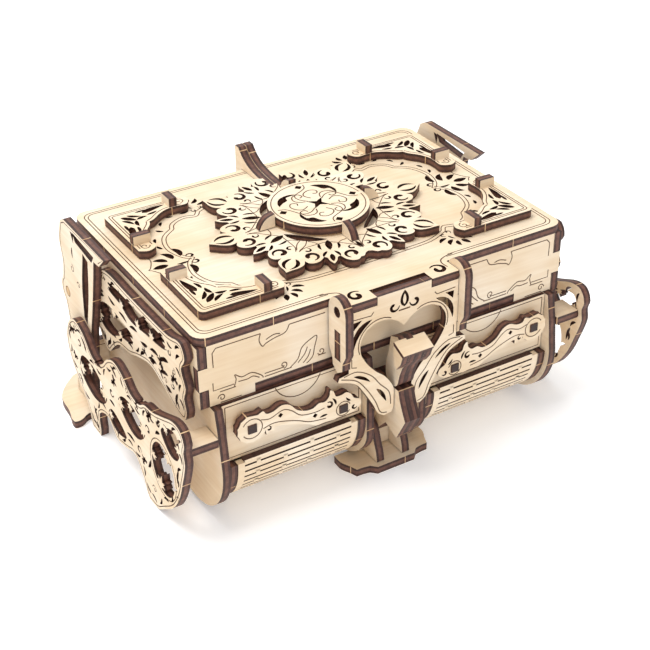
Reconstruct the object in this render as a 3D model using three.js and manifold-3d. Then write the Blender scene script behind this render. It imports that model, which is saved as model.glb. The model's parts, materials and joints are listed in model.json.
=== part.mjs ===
// A laser-cut plywood casket: a hinged lid with a lace lock plate, two sliding front drawers with
// kerf-bent bellies, lace side plates and a tilting latch. Millimetres, +Z up, front along -Y.
// While it is drawn, y = 0 is the lid's front edge and z = 0 the table; the group is centred last.
import * as THREE from "three";
import { mergeVertices } from "three/addons/utils/BufferGeometryUtils.js";
import Module from "manifold-3d";

// ---- Driving dimensions ----
const ply = 3.2; // thickness of every flat sheet
const gap = 0.3; // clearance between neighbouring pieces
const lidWidth = 151;
const lidDepth = 103.4;
const seam = 51.6; // height of the lid's lower edge
const lidHeight = 27.4; // from the seam to the lid's top face
const lidCorner = 4.7;
const skirtInset = 0.4;
const fingerLow = 7; // the skirt's middle finger, above the seam
const fingerHigh = 15.5;
const shelfHalf = 54.5; // half length of the shelf edge that fills the skirt's step
const lockHalf = 22.6; // half width of the lock plate between its brackets
const notchHalf = 11.4; // half width of the notch between the lid's front tabs
const tabReach = 7.7; // how far the lid's front tabs stand out
const notchDepth = 5.2;
const lockFace = 7.6; // how far the lock plate's face stands in front of the lid
const mortise = [58, 69]; // heights of the lock plate's side tabs
const hingeBack = 4.4; // hinge axis, in front of the lid's rear edge
const hingeDrop = 1.6; // and below the seam
const pinRadius = 1.9;
const lugRadius = 5;
const floorHeight = 8;
const wallInset = 13.4; // rear end of the side walls, ahead of the lid's rear edge
const drawerBack = 40; // rear face of the drawers
const centreHalf = 9.7; // half of the slot between the two centre walls
const bellyRadius = 22.5;
const bellyBack = 18.5; // the bellies' axis, behind the lid's front edge
const footClear = 0.8; // air under the bellies, above the front foot's sheet
const bellyThick = 2.6;
const ledge = 27.2; // height of the drawers' upper edge
const panelClear = 0.6; // air between the drawers and the fixed front panels
const panelFace = 1; // how far the fixed front panels stand in front of y = 0
const barFace = 6.1;
const pegSize = 3.2;
const outerPeg = [60, 42];
const innerPeg = [23.9, 36.7];
const rosetteRadius = 45.2;
const ornamentShift = 2.1; // the ornaments' centre, ahead of the lid's middle
const ornamentLeg = 31.5;
const tabBack = 7.6; // from the end of a leg to the corner side of its tab
const ornamentSpread = [68.9, 40.2]; // outer corners of the corner ornaments from that centre
const medallionRadius = 18.9;
const medallionRise = 0.9; // air between rosette and medallion
const columnHalf = 3.35;
const headHalf = 6.3; // the latch's wide head
const drawnSeam = 51.6; // the seam height that the lock's and the lid lace's outlines are drawn for
const handleTip = 29.8; // front end of the handle, behind the ornaments' centre
const handleHook = 0.8; // how far the handle's hook reaches below the lid's plate

const lidTop = seam + lidHeight;
const wallBack = lidDepth - wallInset;
const bellyCentre = [bellyBack, ply + footClear + bellyRadius];
const ornamentCentre = lidDepth / 2 - ornamentShift;
const handleFront = lidDepth - ornamentCentre - handleTip;
const lift = ([a, z]) => [a, z + seam - drawnSeam];
const latchPivot = lift([-5.6, 42.8]);
const half = lidWidth / 2;
const wallX = half - ply - gap; // outer face of the base's end walls
const lidLaceX = half + gap;
const postX = lidLaceX + ply + gap;
const laceX = postX + ply + gap;
const hinge = [lidDepth - hingeBack, seam - hingeDrop];
const baseTop = seam - gap;
const centreX = centreHalf + ply; // outer face of the centre walls

const wasm = await Module();
wasm.setup();

const birch = { color: 0xe8cfa6, roughness: 0.72, metalness: 0 };
const group = new THREE.Group();

// ---- Making plates ----
// The three ways a sheet stands: flat on the table, facing front, or facing sideways.
const planes = {
  flat: new THREE.Matrix4(),
  front: new THREE.Matrix4().makeBasis(
    new THREE.Vector3(1, 0, 0),
    new THREE.Vector3(0, 0, 1),
    new THREE.Vector3(0, -1, 0),
  ),
  side: new THREE.Matrix4().makeBasis(
    new THREE.Vector3(0, 1, 0),
    new THREE.Vector3(0, 0, 1),
    new THREE.Vector3(1, 0, 0),
  ),
};

// The points as vectors, running clockwise or the other way round.
function loop(points, clockwise) {
  const corners = points.map(([a, b]) => new THREE.Vector2(a, b));
  return THREE.ShapeUtils.isClockWise(corners) === clockwise ? corners : corners.reverse();
}

const mirrored = (points) => points.map(([a, b]) => [-a, b]).reverse();

// A closed smooth outline through the given points.
function smooth(points, steps = 3) {
  const corners = points.map(([a, b]) => new THREE.Vector3(a, b, 0));
  const curve = new THREE.CatmullRomCurve3(corners, true, "centripetal");
  return curve.getPoints(points.length * steps).slice(0, -1).map((p) => [p.x, p.y]);
}

// Points along an arc, both ends included, angles in degrees.
function arc([a, b], radius, from, to, steps = 8) {
  return Array.from({ length: steps + 1 }, (_, i) => {
    const turn = THREE.MathUtils.degToRad(from + ((to - from) * i) / steps);
    return [a + radius * Math.cos(turn), b + radius * Math.sin(turn)];
  });
}

const circle = (centre, radius, steps = 16) => arc(centre, radius, 0, 360, steps).slice(0, -1);

const box = (a0, a1, b0, b1) => [[a0, b0], [a1, b0], [a1, b1], [a0, b1]];

// Extrudes an outline with holes and lays it in its plane, from `at` for `thick` along the normal.
function sheet(outline, holes, plane, at, thick = ply) {
  const shape = new THREE.Shape(loop(outline, false));
  holes.forEach((hole) => shape.holes.push(new THREE.Path(loop(hole, true))));
  const geometry = new THREE.ExtrudeGeometry(shape, { depth: thick, bevelEnabled: false });
  const shift = plane === "front" ? -(at + thick) : at;
  return geometry.translate(0, 0, shift).applyMatrix4(planes[plane]);
}

function solid(geometry) {
  const bare = geometry.clone();
  bare.deleteAttribute("normal");
  bare.deleteAttribute("uv");
  const merged = mergeVertices(bare, 1e-4);
  const triVerts = new Uint32Array(merged.index.array);
  return new wasm.Manifold(
    new wasm.Mesh({ numProp: 3, vertProperties: merged.attributes.position.array, triVerts }),
  );
}

function geometryOf(body) {
  const { vertProperties, triVerts } = body.getMesh();
  const geometry = new THREE.BufferGeometry();
  geometry.setAttribute("position", new THREE.BufferAttribute(vertProperties, 3));
  geometry.setIndex(new THREE.BufferAttribute(triVerts, 1));
  const flat = geometry.toNonIndexed();
  flat.computeVertexNormals();
  return flat;
}

const joined = (first, ...rest) => geometryOf(rest.reduce((sum, g) => sum.add(solid(g)), solid(first)));

function block([x0, x1], [y0, y1], [z0, z1]) {
  const geometry = new THREE.BoxGeometry(x1 - x0, y1 - y0, z1 - z0);
  return geometry.translate((x0 + x1) / 2, (y0 + y1) / 2, (z0 + z1) / 2);
}

function add(name, geometry) {
  const mesh = new THREE.Mesh(geometry, new THREE.MeshStandardMaterial(birch));
  mesh.name = name;
  group.add(mesh);
  return mesh;
}

// Adds one sheet on each side of the middle plane; `near` is the face closer to the middle.
function sidePair(name, outline, holes, near) {
  add(`left_${name}`, sheet(outline, holes, "side", -near - ply));
  add(`right_${name}`, sheet(outline, holes, "side", near));
}

// Adds a front-facing or flat sheet drawn for the right, and its mirror image on the left.
function mirrorPair(name, outline, holes, plane, at) {
  add(`left_${name}`, sheet(mirrored(outline), holes.map(mirrored), plane, at));
  add(`right_${name}`, sheet(outline, holes, plane, at));
}

// ---- Base ----
const rear = (back, up) => [lidDepth - back, up];
const inside = wallX - ply - gap; // half width between the end walls

// Profile shared by the end and centre walls: curved front no further forward than `front`, then
// straight back to `back`.
function wallOutline(front, back) {
  const reach = bellyRadius + 2;
  const low = floorHeight;
  const brow = [[-2.5, baseTop], [-4.6, (baseTop + ledge) / 2], ...arc(bellyCentre, reach, 168, 283, 14)];
  const face = brow.map(([y, z]) => [Math.max(y, front), z]);
  return [...face, [30, low], [back, low], [back, baseTop]];
}

function base() {
  const floorFront = drawerBack + 3;
  const floorSpan = [floorFront + gap, wallBack];
  add("base_floor", block([-inside, inside], floorSpan, [floorHeight, floorHeight + ply]));
  sidePair("end_wall", wallOutline(-bellyRadius, wallBack), [], wallX - ply);
  sidePair("centre_wall", wallOutline(ply - lockFace + gap, floorFront), [], centreHalf);
  const wallFront = drawerBack + 4;
  const onFloor = floorHeight + ply + gap;
  add("compartment_front_wall", sheet(box(-inside, inside, onFloor, baseTop), [], "front", wallFront));
  const arm = postX - gap;
  const tailBoard = [
    [-wallX, floorHeight], [wallX, floorHeight], [wallX, 12], [arm, 12], [arm, 30], [wallX, 30],
    [wallX, baseTop], [-wallX, baseTop], [-wallX, 30], [-arm, 30], [-arm, 12], [-wallX, 12],
  ];
  add("base_rear_wall", sheet(tailBoard, [], "front", wallBack + gap));
  const shelfBack = wallFront + ply;
  const behindSkirt = skirtInset + ply + gap;
  const shelf = [
    [-wallX, behindSkirt], [-shelfHalf, behindSkirt], [-shelfHalf, skirtInset + 0.2],
    [shelfHalf, skirtInset + 0.2], [shelfHalf, behindSkirt], [wallX, behindSkirt],
    [wallX, shelfBack], [-wallX, shelfBack],
  ];
  add("front_shelf", sheet(shelf, [], "flat", seam));
  const plateFront = 7;
  const innerHalf = centreHalf - gap;
  const overFoot = ply + gap;
  add("centre_front_plate", sheet(box(-innerHalf, innerHalf, overFoot, baseTop), [], "front", plateFront));
  const foot = [
    [18.4, 9.5], [18.4, 4.9], [16.6, 0.8], [15.6, -2], [12.8, -2.1], [10.2, -2.6], [8.1, -4.7],
    [-8.1, -4.7], [-10.2, -2.6], [-12.8, -2.1], [-15.6, -2], [-16.6, 0.8], [-18.4, 4.9], [-18.4, 9.5],
  ];
  add("front_foot_plate", sheet(foot, [], "flat", 0));
  const finBack = plateFront - gap;
  const fin = [
    [-2.6, overFoot], [finBack, overFoot], [finBack, 19.5], [2.6, 17.5], [0.8, 14.5], [-0.4, 11], [-1.8, 7.5],
  ];
  sidePair("foot_fin", fin, [], 4);
  const column = [
    [finBack, 10.5],
    ...[[finBack, 38.5], [-9.9, 38.5], [-10.8, 35], [-12.6, 31], [-14.5, 27.5]].map(lift),
    [-9.2, 17.6], [-2, 20.2],
  ];
  add("lock_column", sheet(column, [], "side", -columnHalf, 2 * columnHalf));
}

function frontPanels() {
  const low = ledge + panelClear;
  const panel = box(centreX + gap, inside, low, baseTop);
  const peg = ([x, z]) => {
    const r = pegSize / 2;
    return block([x - r, x + r], [-barFace - 0.5, -panelFace + 0.5], [z - r, z + r]);
  };
  const right = joined(sheet(panel, [], "front", -panelFace), peg(outerPeg), peg(innerPeg));
  const flip = ([x, z]) => [-x, z];
  const left = joined(
    sheet(mirrored(panel), [], "front", -panelFace),
    peg(flip(outerPeg)),
    peg(flip(innerPeg)),
  );
  add("left_front_panel", left);
  add("right_front_panel", right);
  const hole = ([x, z]) => {
    const r = pegSize / 2 + gap;
    return box(x - r, x + r, z - r, z + r);
  };
  const [ox, oz] = outerPeg;
  const [ix, iz] = innerPeg;
  const bar = smooth([
    [ox + 5.4, oz + 2], [ox + 5.6, oz + 5.4], [ox + 1, oz + 5.8], [ox - 4.2, oz + 4.6], [ox - 8, oz + 5.2],
    [ox - 13.2, oz + 5.6], [ox - 17, oz + 1.8], [ix + 12, iz + 3.2], [ix + 9.4, iz + 5.6],
    [ix + 6.4, iz + 4.6],
    [ix + 5.2, iz + 9.6], [ix + 2.6, iz + 7.2], [ix - 2, iz + 5.8], [ix - 6, iz + 3], [ix - 8, iz - 2.4],
    [ix - 4, iz - 3.2], [ix + 4.2, iz - 3], [ix + 11, iz - 3.2], [ix + 15, iz - 0.8], [ox - 11, oz - 1.6],
    [ox - 8, oz - 4.6], [ox - 5, oz - 2.6], [ox - 2, oz - 5.4], [ox + 3.6, oz - 5.2], [ox + 6.2, oz - 4.6],
  ]);
  mirrorPair("ornate_bar", bar, [hole(outerPeg), hole(innerPeg)], "front", -barFace);
}

// Scalloped outer side plate of the base, standing on its front foot and its rear leg.
function baseLace() {
  const outline = smooth([
    [13.5, 4.6], [20, 0.4], [27, 0], [31, 7], [36.5, 13.5], [45, 11.5], [54, 10.2], [60, 15.5],
    rear(33.4, 11.5),
    rear(32, 0), rear(24.6, 0), rear(22.4, 8), rear(17, 14), rear(9.4, 22), rear(6.6, 31), rear(10, 40),
    rear(17, 45), rear(25, 43), rear(33, 36.5), [62, 38.5], [56, 44], [49, 47], [42, 45.2], [36, 41],
    [29, 40.6], [24, 43.4], [17, 44.6], [9, 47.6], [0, 51], [-5, 50.6], [-7.6, 46], [-6.6, 42.4],
    [-7.2, 38], [-6, 33.4], [-4, 28], [-0.8, 20], [5, 11.4],
  ]).map(([y, z]) => [y, Math.max(z, 0)]);
  const bigOval = circle([12, 23.4], 8.6, 14).map(([y, z]) => [y, 23.4 + (z - 23.4) * 1.12]);
  const longOval = smooth([[44, 31.5], [38, 35], [30, 32.5], [27, 28], [33, 24.5], [41, 25.5]]);
  const rearHole = smooth([
    rear(20, 27), rear(26, 31.5), rear(36, 27.5), rear(42, 21), rear(35, 18), rear(25, 18.5),
  ]);
  const frontHole = smooth([[9.6, 40.6], [5, 45.4], [-1.6, 46], [-3, 41], [-0.4, 35.8], [5, 35]]);
  sidePair("base_lace", outline, [bigOval, longOval, rearHole, frontHole], laceX);
}

// Tall rear side plate on each side; it carries the hinge pin and rests on the rear foot.
function rearPost() {
  const top = lidTop + 4;
  const onFoot = ply + gap;
  const outline = [
    rear(17, onFoot), rear(1.4, onFoot), rear(3, 14), rear(4, 26), rear(2, 38),
    ...arc(hinge, 6.2, -50, 55, 8), rear(2.6, 62), rear(1.6, 72), rear(5, top - 2), rear(9, top),
    rear(46, top), rear(41, top - 4.6), rear(36, top - 5), rear(33.6, top - 14), rear(29, 54),
    rear(25, 42), rear(23.4, 34), rear(20, 20),
  ];
  const pinHole = circle(hinge, pinRadius + gap, 16);
  const longHole = [
    rear(30, lidTop - 4), rear(25.6, lidTop - 2.6), rear(21, 60), rear(19.4, 46), rear(22, 44), rear(27, 60),
  ];
  const slot = [rear(36.5, top - 3), rear(17, top - 1.8), rear(19, top - 5), rear(34, top - 6.4)];
  sidePair("rear_post", outline, [pinHole, longHole, slot], postX);
  const inner = postX - 2;
  const out = (x, back, z = 0) => [inner + x, rear(back, z)[0]];
  const foot = smooth([
    out(0, 19.4), out(8.6, 20), out(12.4, 22.4), out(15.2, 22.2), out(14.2, 14), out(13.2, 4),
    out(9.6, -2), out(5.4, -6.4), out(2.4, -8.6), out(0, -8.1),
  ]);
  mirrorPair("rear_foot", foot, [], "flat", 0);
  const pin = new THREE.CylinderGeometry(pinRadius, pinRadius, postX + ply - wallX - gap, 16);
  pin.rotateZ(Math.PI / 2);
  const middle = (postX + ply + wallX + gap) / 2;
  add("left_hinge_pin", pin).position.set(-middle, ...hinge);
  add("right_hinge_pin", pin.clone()).position.set(middle, ...hinge);
}

function sideTies() {
  const high = [38.4, 38.4 + ply];
  add("left_side_tie", block([gap - laceX, -wallX - gap], [-5, 4.4], high));
  add("right_side_tie", block([wallX + gap, laceX - gap], [-5, 4.4], high));
}

// ---- Drawers ----
// Outline of a drawer end, or of the belly sheet when `inset` is its thickness.
function drawerOutline(inset) {
  const radius = bellyRadius - inset;
  const rise = THREE.MathUtils.radToDeg(Math.asin((ledge - bellyCentre[1]) / radius));
  return arc(bellyCentre, radius, 180 - rise, 270, 14);
}

function drawers() {
  const inner = centreX + gap;
  const low = bellyCentre[1] - bellyRadius;
  const end = [...drawerOutline(0), [drawerBack, low], [drawerBack, ledge]];
  sidePair("drawer_outer_end", end, [], inside - ply);
  sidePair("drawer_inner_end", end, [], inner);
  const boardFront = drawerBack - ply;
  const bend = boardFront - gap;
  const belly = [
    ...drawerOutline(0), [bend, low], [bend, low + bellyThick],
    ...drawerOutline(bellyThick).reverse(),
  ];
  const start = inner + ply + gap;
  const finish = inside - ply - gap;
  add("left_drawer_belly", sheet(belly, [], "side", -finish, finish - start));
  add("right_drawer_belly", sheet(belly, [], "side", start, finish - start));
  mirrorPair("drawer_rear_board", box(start, finish, low, ledge), [], "front", boardFront);
}

// ---- Lid ----
function lidPlate() {
  const r = lidCorner;
  const corner = (x, y, from) => arc([x, y], r, from, from + 90, 5);
  const outline = [
    ...corner(half - r, lidDepth - r, 0), ...corner(r - half, lidDepth - r, 90), ...corner(r - half, r, 180),
    [-lockHalf, 0], [-lockHalf, -tabReach], [-notchHalf, -tabReach], [-notchHalf, notchDepth - tabReach],
    [notchHalf, notchDepth - tabReach], [notchHalf, -tabReach], [lockHalf, -tabReach], [lockHalf, 0],
    ...corner(half - r, r, 270),
  ];
  add("lid_plate", sheet(outline, [], "flat", lidTop - ply));
}

function lidWalls() {
  const under = lidTop - ply - gap;
  const edge = half - ply - gap;
  const [f0, f1] = [seam + fingerLow, seam + fingerHigh];
  const step = seam + ply + gap;
  const stepHalf = shelfHalf + gap;
  const skirt = [
    [stepHalf, seam], [edge, seam], [edge, f0], [half, f0], [half, f1], [edge, f1], [edge, under],
    [-edge, under], [-edge, f1], [-half, f1], [-half, f0], [-edge, f0], [-edge, seam],
    [-stepHalf, seam], [-stepHalf, step], [stepHalf, step],
  ];
  add("lid_skirt", sheet(skirt, [], "front", skirtInset));
  const front = skirtInset;
  const inner = skirtInset + ply + gap;
  const side = [
    [front, seam], [hinge[0] - lugRadius, seam], ...arc(hinge, lugRadius, 180, 350, 10), [lidDepth, seam],
    [lidDepth, under], [front, under], [front, f1 + gap], [inner, f1 + gap], [inner, f0 - gap],
    [front, f0 - gap],
  ];
  sidePair("lid_wall", side, [circle(hinge, pinRadius + gap, 16)], half - ply);
  add("lid_rear_wall", sheet(box(-edge, edge, seam + gap, under), [], "front", lidDepth - ply));
}

// Lace plate on each side of the lid, with its long slot and scrollwork opening.
function lidLace() {
  const outline = smooth([
    [5, 76.4], [14.6, 74.6], [30, 74], [48, 73.9], rear(38, 73.8), rear(30.4, 71), rear(25.4, 65),
    rear(20.4, 58.5), rear(16.6, 51.5), rear(19, 47), rear(24, 44.6), rear(29, 38.6), rear(33, 37.4),
    rear(37, 41), [60, 45.8], [50, 47.6], [42, 50.6], [32, 53], [25, 51.4], [18, 48.4], [11, 45.6],
    [5.8, 45.6], [4, 50], [5.2, 54.5], [3.4, 59.5], [6, 66], [2.6, 71.5],
  ]).map(lift);
  const slot = smooth([
    [20, 70.6], [42, 70.4], rear(39.4, 70.2), rear(34, 66.5), rear(38, 63.6), [55, 65.4], [45, 62],
    [33, 64.2], [22, 65.4], [17.6, 68],
  ]).map(lift);
  const scroll = smooth([
    rear(26, 55), rear(31, 60), rear(39, 59), [56, 57], [50, 53.4], [60, 50.4], rear(34, 46), rear(28, 48),
  ]).map(lift);
  sidePair("lid_lace", outline, [slot, scroll], lidLaceX);
}

// One corner ornament for the right rear: an L-shaped leg pair with two raised cross tabs.
function cornerOrnaments() {
  const low = lidTop + gap;
  const leg = ornamentLeg;
  const [cx, cy] = ornamentSpread;
  const inward = [
    [0, 0], [leg, 0], [leg + 1.6, 3.6], [leg - 0.4, 7.4], [leg - 6, 7], [20, 8.8], [15, 11.2], [11.2, 15],
    [8.8, 20], [7, leg - 6], [7.4, leg - 0.4], [3.6, leg + 1.6], [0, leg],
  ];
  const places = { front_left: [-1, -1], front_right: [1, -1], rear_left: [-1, 1], rear_right: [1, 1] };
  for (const [name, [sx, sy]] of Object.entries(places)) {
    const outline = inward.map(([u, v]) => [sx * (cx - u), ornamentCentre + sy * (cy - v)]);
    const tab = (u0, u1, v0, v1) => {
      const x = [sx * (cx - u0), sx * (cx - u1)].sort((a, b) => a - b);
      const y = [sy * (cy - v0), sy * (cy - v1)].map((v) => ornamentCentre + v).sort((a, b) => a - b);
      return block(x, y, [low + 1, low + ply + 3.4]);
    };
    const near = leg - tabBack;
    const tabs = [tab(near, near + ply, 0.4, 7), tab(0.4, 7, near, near + ply)];
    add(`corner_ornament_${name}`, joined(sheet(outline, [], "flat", low), ...tabs));
  }
}

// Rosette outline: eight sectors with a long petal (short at front and rear) and a small leaf tip.
function rosetteOutline() {
  const points = [];
  for (let sector = 0; sector < 8; sector += 1) {
    const tip = sector % 4 === 2 ? 0.79 : 1;
    const profile = [
      [-14, 0.75], [-9, 0.8], [-5.5, 0.8], [-3, Math.max(0.78, tip - 0.1)], [0, tip],
      [3, Math.max(0.78, tip - 0.1)], [5.5, 0.8], [9, 0.8], [14, 0.75], [19, 0.78], [22.5, 0.85], [26, 0.78],
    ];
    for (const [degrees, share] of profile) {
      const turn = THREE.MathUtils.degToRad(sector * 45 + degrees);
      const r = rosetteRadius * share;
      points.push([r * Math.cos(turn), ornamentCentre + r * Math.sin(turn)]);
    }
  }
  return points;
}

function lidCentre() {
  const low = lidTop + gap;
  const slotSpan = [lidDepth - handleFront - gap, lidDepth];
  const handleSlot = block([-ply - gap, ply + gap], slotSpan, [lidTop, lidTop + 2 * ply]);
  const disc = solid(sheet(rosetteOutline(), [], "flat", low));
  add("rosette", geometryOf(disc.subtract(solid(handleSlot))));
  const middle = [0, ornamentCentre];
  const rosetteTop = low + ply;
  const raised = rosetteTop + medallionRise;
  const star = Array.from({ length: 8 }, (_, i) => {
    const turn = (i * Math.PI) / 4 + Math.PI / 4;
    const r = i % 2 ? 1.2 : 4.2;
    return [r * Math.cos(turn), ornamentCentre + r * Math.sin(turn)];
  });
  const crescents = [0, 90, 180, 270].map((turn) => [
    ...arc(middle, medallionRadius - 3, turn - 24, turn + 24, 6),
    ...arc(middle, medallionRadius - 7.4, turn + 12, turn - 16, 4),
  ]);
  add("medallion", sheet(circle(middle, medallionRadius, 40), [star, ...crescents], "flat", raised));
  const start = medallionRadius + gap;
  const over = raised + ply;
  const fin = [
    [start, rosetteTop + gap], [start + 6.4, rosetteTop + gap], [start + 5.6, over - 2],
    [start + 3.6, over + 0.2], [start, over + 1.4],
  ];
  ["left", "front", "right", "rear"].forEach((name, i) => {
    const mesh = add(`medallion_fin_${name}`, sheet(fin, [], "side", -ply / 2));
    mesh.rotation.z = THREE.MathUtils.degToRad(90 + 90 * i);
    mesh.position.y = ornamentCentre;
  });
}

function handle() {
  const low = lidTop + gap;
  const hook = low - ply - handleHook;
  const outline = [
    rear(handleFront, low), rear(-gap, low), rear(-gap, hook), rear(-5.3, hook), rear(-5.3, low + 8.4),
    rear(-2.4, low + 8.4), rear(0.4, low + 5.6), rear(4.6, low + 3.3), rear(10, low + 2),
    rear(handleFront, low + 1),
  ];
  sidePair("handle_ply", outline, [], gap / 2);
}

// Lock plate between two brackets; its legs pass either side of the lock column.
function lockPlate() {
  const under = lidTop - ply - gap;
  const [m0, m1] = mortise.map((z) => z + seam - drawnSeam);
  const slit = columnHalf + 0.4;
  const opening = [
    [slit, 38.6], [7.6, 45.2], [11.4, 48.6], [15.2, 53.2], [17.7, 58.2], [17.6, 63], [15.4, 66.8],
    [11.6, 68.6], [7, 68.6], [2.8, 66.6], [0, 64],
  ].map(lift);
  const outer = [
    ...[
      [slit, 31], [4.6, 28.9], [7.8, 28.4], [10.2, 30.2], [12.4, 34.6], [16.2, 41.2], [19.8, 46.2],
      [27, 49.4], [26.4, 51],
    ].map(lift),
    [lockHalf, seam], [lockHalf, m0], [lockHalf + gap + ply, m0],
    [lockHalf + gap + ply, m1], [lockHalf, m1], [lockHalf, under], [notchHalf - gap, under],
    [notchHalf - gap, lidTop - gap],
  ];
  // Up the right edge, down the left edge, then round the heart back to the start.
  const heart = [...opening.map(([x, z]) => [-x, z]), ...opening.slice(0, -1).reverse()];
  add("heart_plate", sheet([...outer, ...mirrored(outer), ...heart], [], "front", -lockFace));
  const centre = -lockFace + ply / 2 + 0.2;
  const wide = 5.4;
  const bracket = [
    ...arc([centre, lidTop - 2.2], wide, 0, 180, 10),
    ...[
      [centre - wide, 61.5], [centre - 3.4, 57.5], [centre - 3.2, 54.5], [centre, 52.2],
      [centre + 3, 54.5], [centre + 3.4, 57.5], [centre + wide, 61.5],
    ].map(lift),
  ];
  const slot = box(-lockFace - gap, ply - lockFace + gap, m0 - gap, m1 + gap);
  sidePair("lock_bracket", bracket, [circle([centre, lidTop - 2.2], 2, 14), slot], lockHalf + gap);
}

// ---- Latch ----
// The claw turns on the column's top: its foot is round about the pivot.
function latch() {
  const foot = arc(latchPivot, 4, 200, 350, 8);
  const core = [
    ...foot,
    ...[
      [-1.6, 46], [-3.2, 52], [-4.6, 59], [-8.6, 60.6], [-16.2, 57], [-15, 53.6], [-12, 49.5], [-10.4, 45.5],
    ].map(lift),
  ];
  const cheek = [[-10.5, 59.4], [-16.2, 57], [-15, 53.6], [-12.6, 50.4], [-11, 51.5]].map(lift);
  const claw = sheet(core, [], "side", -columnHalf, 2 * columnHalf);
  add("latch_claw", joined(claw, sheet(cheek, [], "side", -headHalf, 2 * headHalf)));
  const cap = [[-10.4, 59.9], [-16.6, 57.2], [-17, 58.2], [-10.8, 60.9]].map(lift);
  add("latch_cap", sheet(cap, [], "side", -headHalf, 2 * headHalf));
}

base();
frontPanels();
baseLace();
rearPost();
sideTies();
drawers();
lidPlate();
lidWalls();
lidLace();
cornerOrnaments();
lidCentre();
handle();
lockPlate();
latch();

// The origin is on the table, under the middle of the whole box.
const size = new THREE.Box3().setFromObject(group);
group.position.y = -(size.min.y + size.max.y) / 2;
const part = new THREE.Group();
part.add(group);
export default part;
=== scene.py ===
"""Dresses the casket's frame as laser-cut birch plywood: lace plates, engraving, charred edges."""

import json
import math

import bpy
import numpy as np
from mathutils import Matrix, Vector
from mathutils.geometry import delaunay_2d_cdt


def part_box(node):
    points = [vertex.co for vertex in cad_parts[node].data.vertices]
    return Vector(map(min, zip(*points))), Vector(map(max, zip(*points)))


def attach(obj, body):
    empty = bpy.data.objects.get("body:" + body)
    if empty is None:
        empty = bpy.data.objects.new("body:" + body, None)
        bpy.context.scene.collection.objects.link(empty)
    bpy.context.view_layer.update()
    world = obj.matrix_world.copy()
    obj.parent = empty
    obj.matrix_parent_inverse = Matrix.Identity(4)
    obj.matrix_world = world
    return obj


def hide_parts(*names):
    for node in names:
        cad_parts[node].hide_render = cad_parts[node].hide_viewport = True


bl_info = {
    "name": "Laser-cut casket",
    "version": (1, 0, 0),
    "blender": (4, 5, 0),
    "location": "View3D > Sidebar > Casket",
    "description": "Builds the lace plates, engraving and charred edges of a plywood casket",
    "category": "Object",
}

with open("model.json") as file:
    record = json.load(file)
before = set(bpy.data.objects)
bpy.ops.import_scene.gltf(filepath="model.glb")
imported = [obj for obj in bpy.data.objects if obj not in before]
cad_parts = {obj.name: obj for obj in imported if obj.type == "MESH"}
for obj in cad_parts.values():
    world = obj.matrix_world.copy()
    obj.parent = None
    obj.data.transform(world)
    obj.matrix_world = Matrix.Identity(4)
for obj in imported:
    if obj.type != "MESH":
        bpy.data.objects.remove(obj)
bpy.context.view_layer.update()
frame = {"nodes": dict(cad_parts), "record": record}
MM = 0.001
SKIRT_INSET = 0.4  # the lid's front board stands this far behind the lid plate's edge
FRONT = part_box("lid_skirt")[0].y / MM - SKIRT_INSET  # y = 0 in every drawing below
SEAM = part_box("lid_skirt")[0].z / MM
LID_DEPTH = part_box("lid_plate")[1].y / MM - FRONT
LID_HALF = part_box("lid_plate")[1].x / MM
MIDDLE = 49.6  # centre line of the lid's ornaments, behind the lid's front edge
SHEET = 3.2  # the plywood's thickness
COLUMN_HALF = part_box("lock_column")[1].x / MM
HEAD_HALF = 6.3  # half width of the latch's head
OUTER_PEG, INNER_PEG = (60, 42), (23.9, 36.7)
PEG_HALF, PEG_LENGTH, PEG_ROOT = 1.6, 5.6, 1.0
PANEL_INNER = 13.2  # the front panels start this far from the middle
BELLY_CENTRE, BELLY_RADIUS, BELLY_PLY = (18.5, 26.5), 22.5, 2.6
BEND_AXIS = (0.0, (BELLY_CENTRE[0] + FRONT) * MM, BELLY_CENTRE[1] * MM)
BODY_OF = {n: b for b, ns in frame["record"]["behaviour"]["bodies"].items() for n in ns}
EDGES = []  # outer edges of the sheets, for the bridge stubs left by the laser


# ---- Drawing in a plane, in millimetres ----
def turned(points, degrees, about=(0, 0)):
    """The points turned about a point."""
    c, s = math.cos(math.radians(degrees)), math.sin(math.radians(degrees))
    ax, ay = about
    return [(ax + c * (x - ax) - s * (y - ay), ay + s * (x - ax) + c * (y - ay)) for x, y in points]


def flipped(points):
    """The points mirrored left to right."""
    return [(-x, y) for x, y in reversed(points)]


def upended(points, middle):
    """The points mirrored front to back about y = middle."""
    return [(x, 2 * middle - y) for x, y in reversed(points)]


def moved(points, by):
    """The points shifted."""
    return [(x + by[0], y + by[1]) for x, y in points]


def rect(x0, y0, x1, y1):
    """A rectangle's corners."""
    return [(x0, y0), (x1, y0), (x1, y1), (x0, y1)]


def other_side(shapes):
    """The shapes mirrored left to right."""
    return [(kind, flipped(p)) for kind, p in shapes]


def arc(centre, radius, start, end, steps=12):
    """Points along an arc, both ends included, in degrees."""
    turns = [math.radians(start + (end - start) * i / steps) for i in range(steps + 1)]
    return [(centre[0] + radius * math.cos(t), centre[1] + radius * math.sin(t)) for t in turns]


def spline(points, steps=6, closed=False):
    """A smooth run through the points."""
    p = [Vector(q) for q in points]
    n = len(p)
    out = []
    for i in range(n if closed else n - 1):
        a = p[(i - 1) % n] if closed or i > 0 else p[i]
        b, c = p[i], p[(i + 1) % n]
        d = p[(i + 2) % n] if closed or i + 2 < n else c
        for k in range(steps):
            t = k / steps
            bend, twist = 2 * a - 5 * b + 4 * c - d, 3 * b - a - 3 * c + d
            v = 0.5 * (2 * b + (c - a) * t + bend * t * t + twist * t**3)
            out.append((v.x, v.y))
    if not closed:
        out.append(tuple(p[-1]))
    return out


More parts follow.
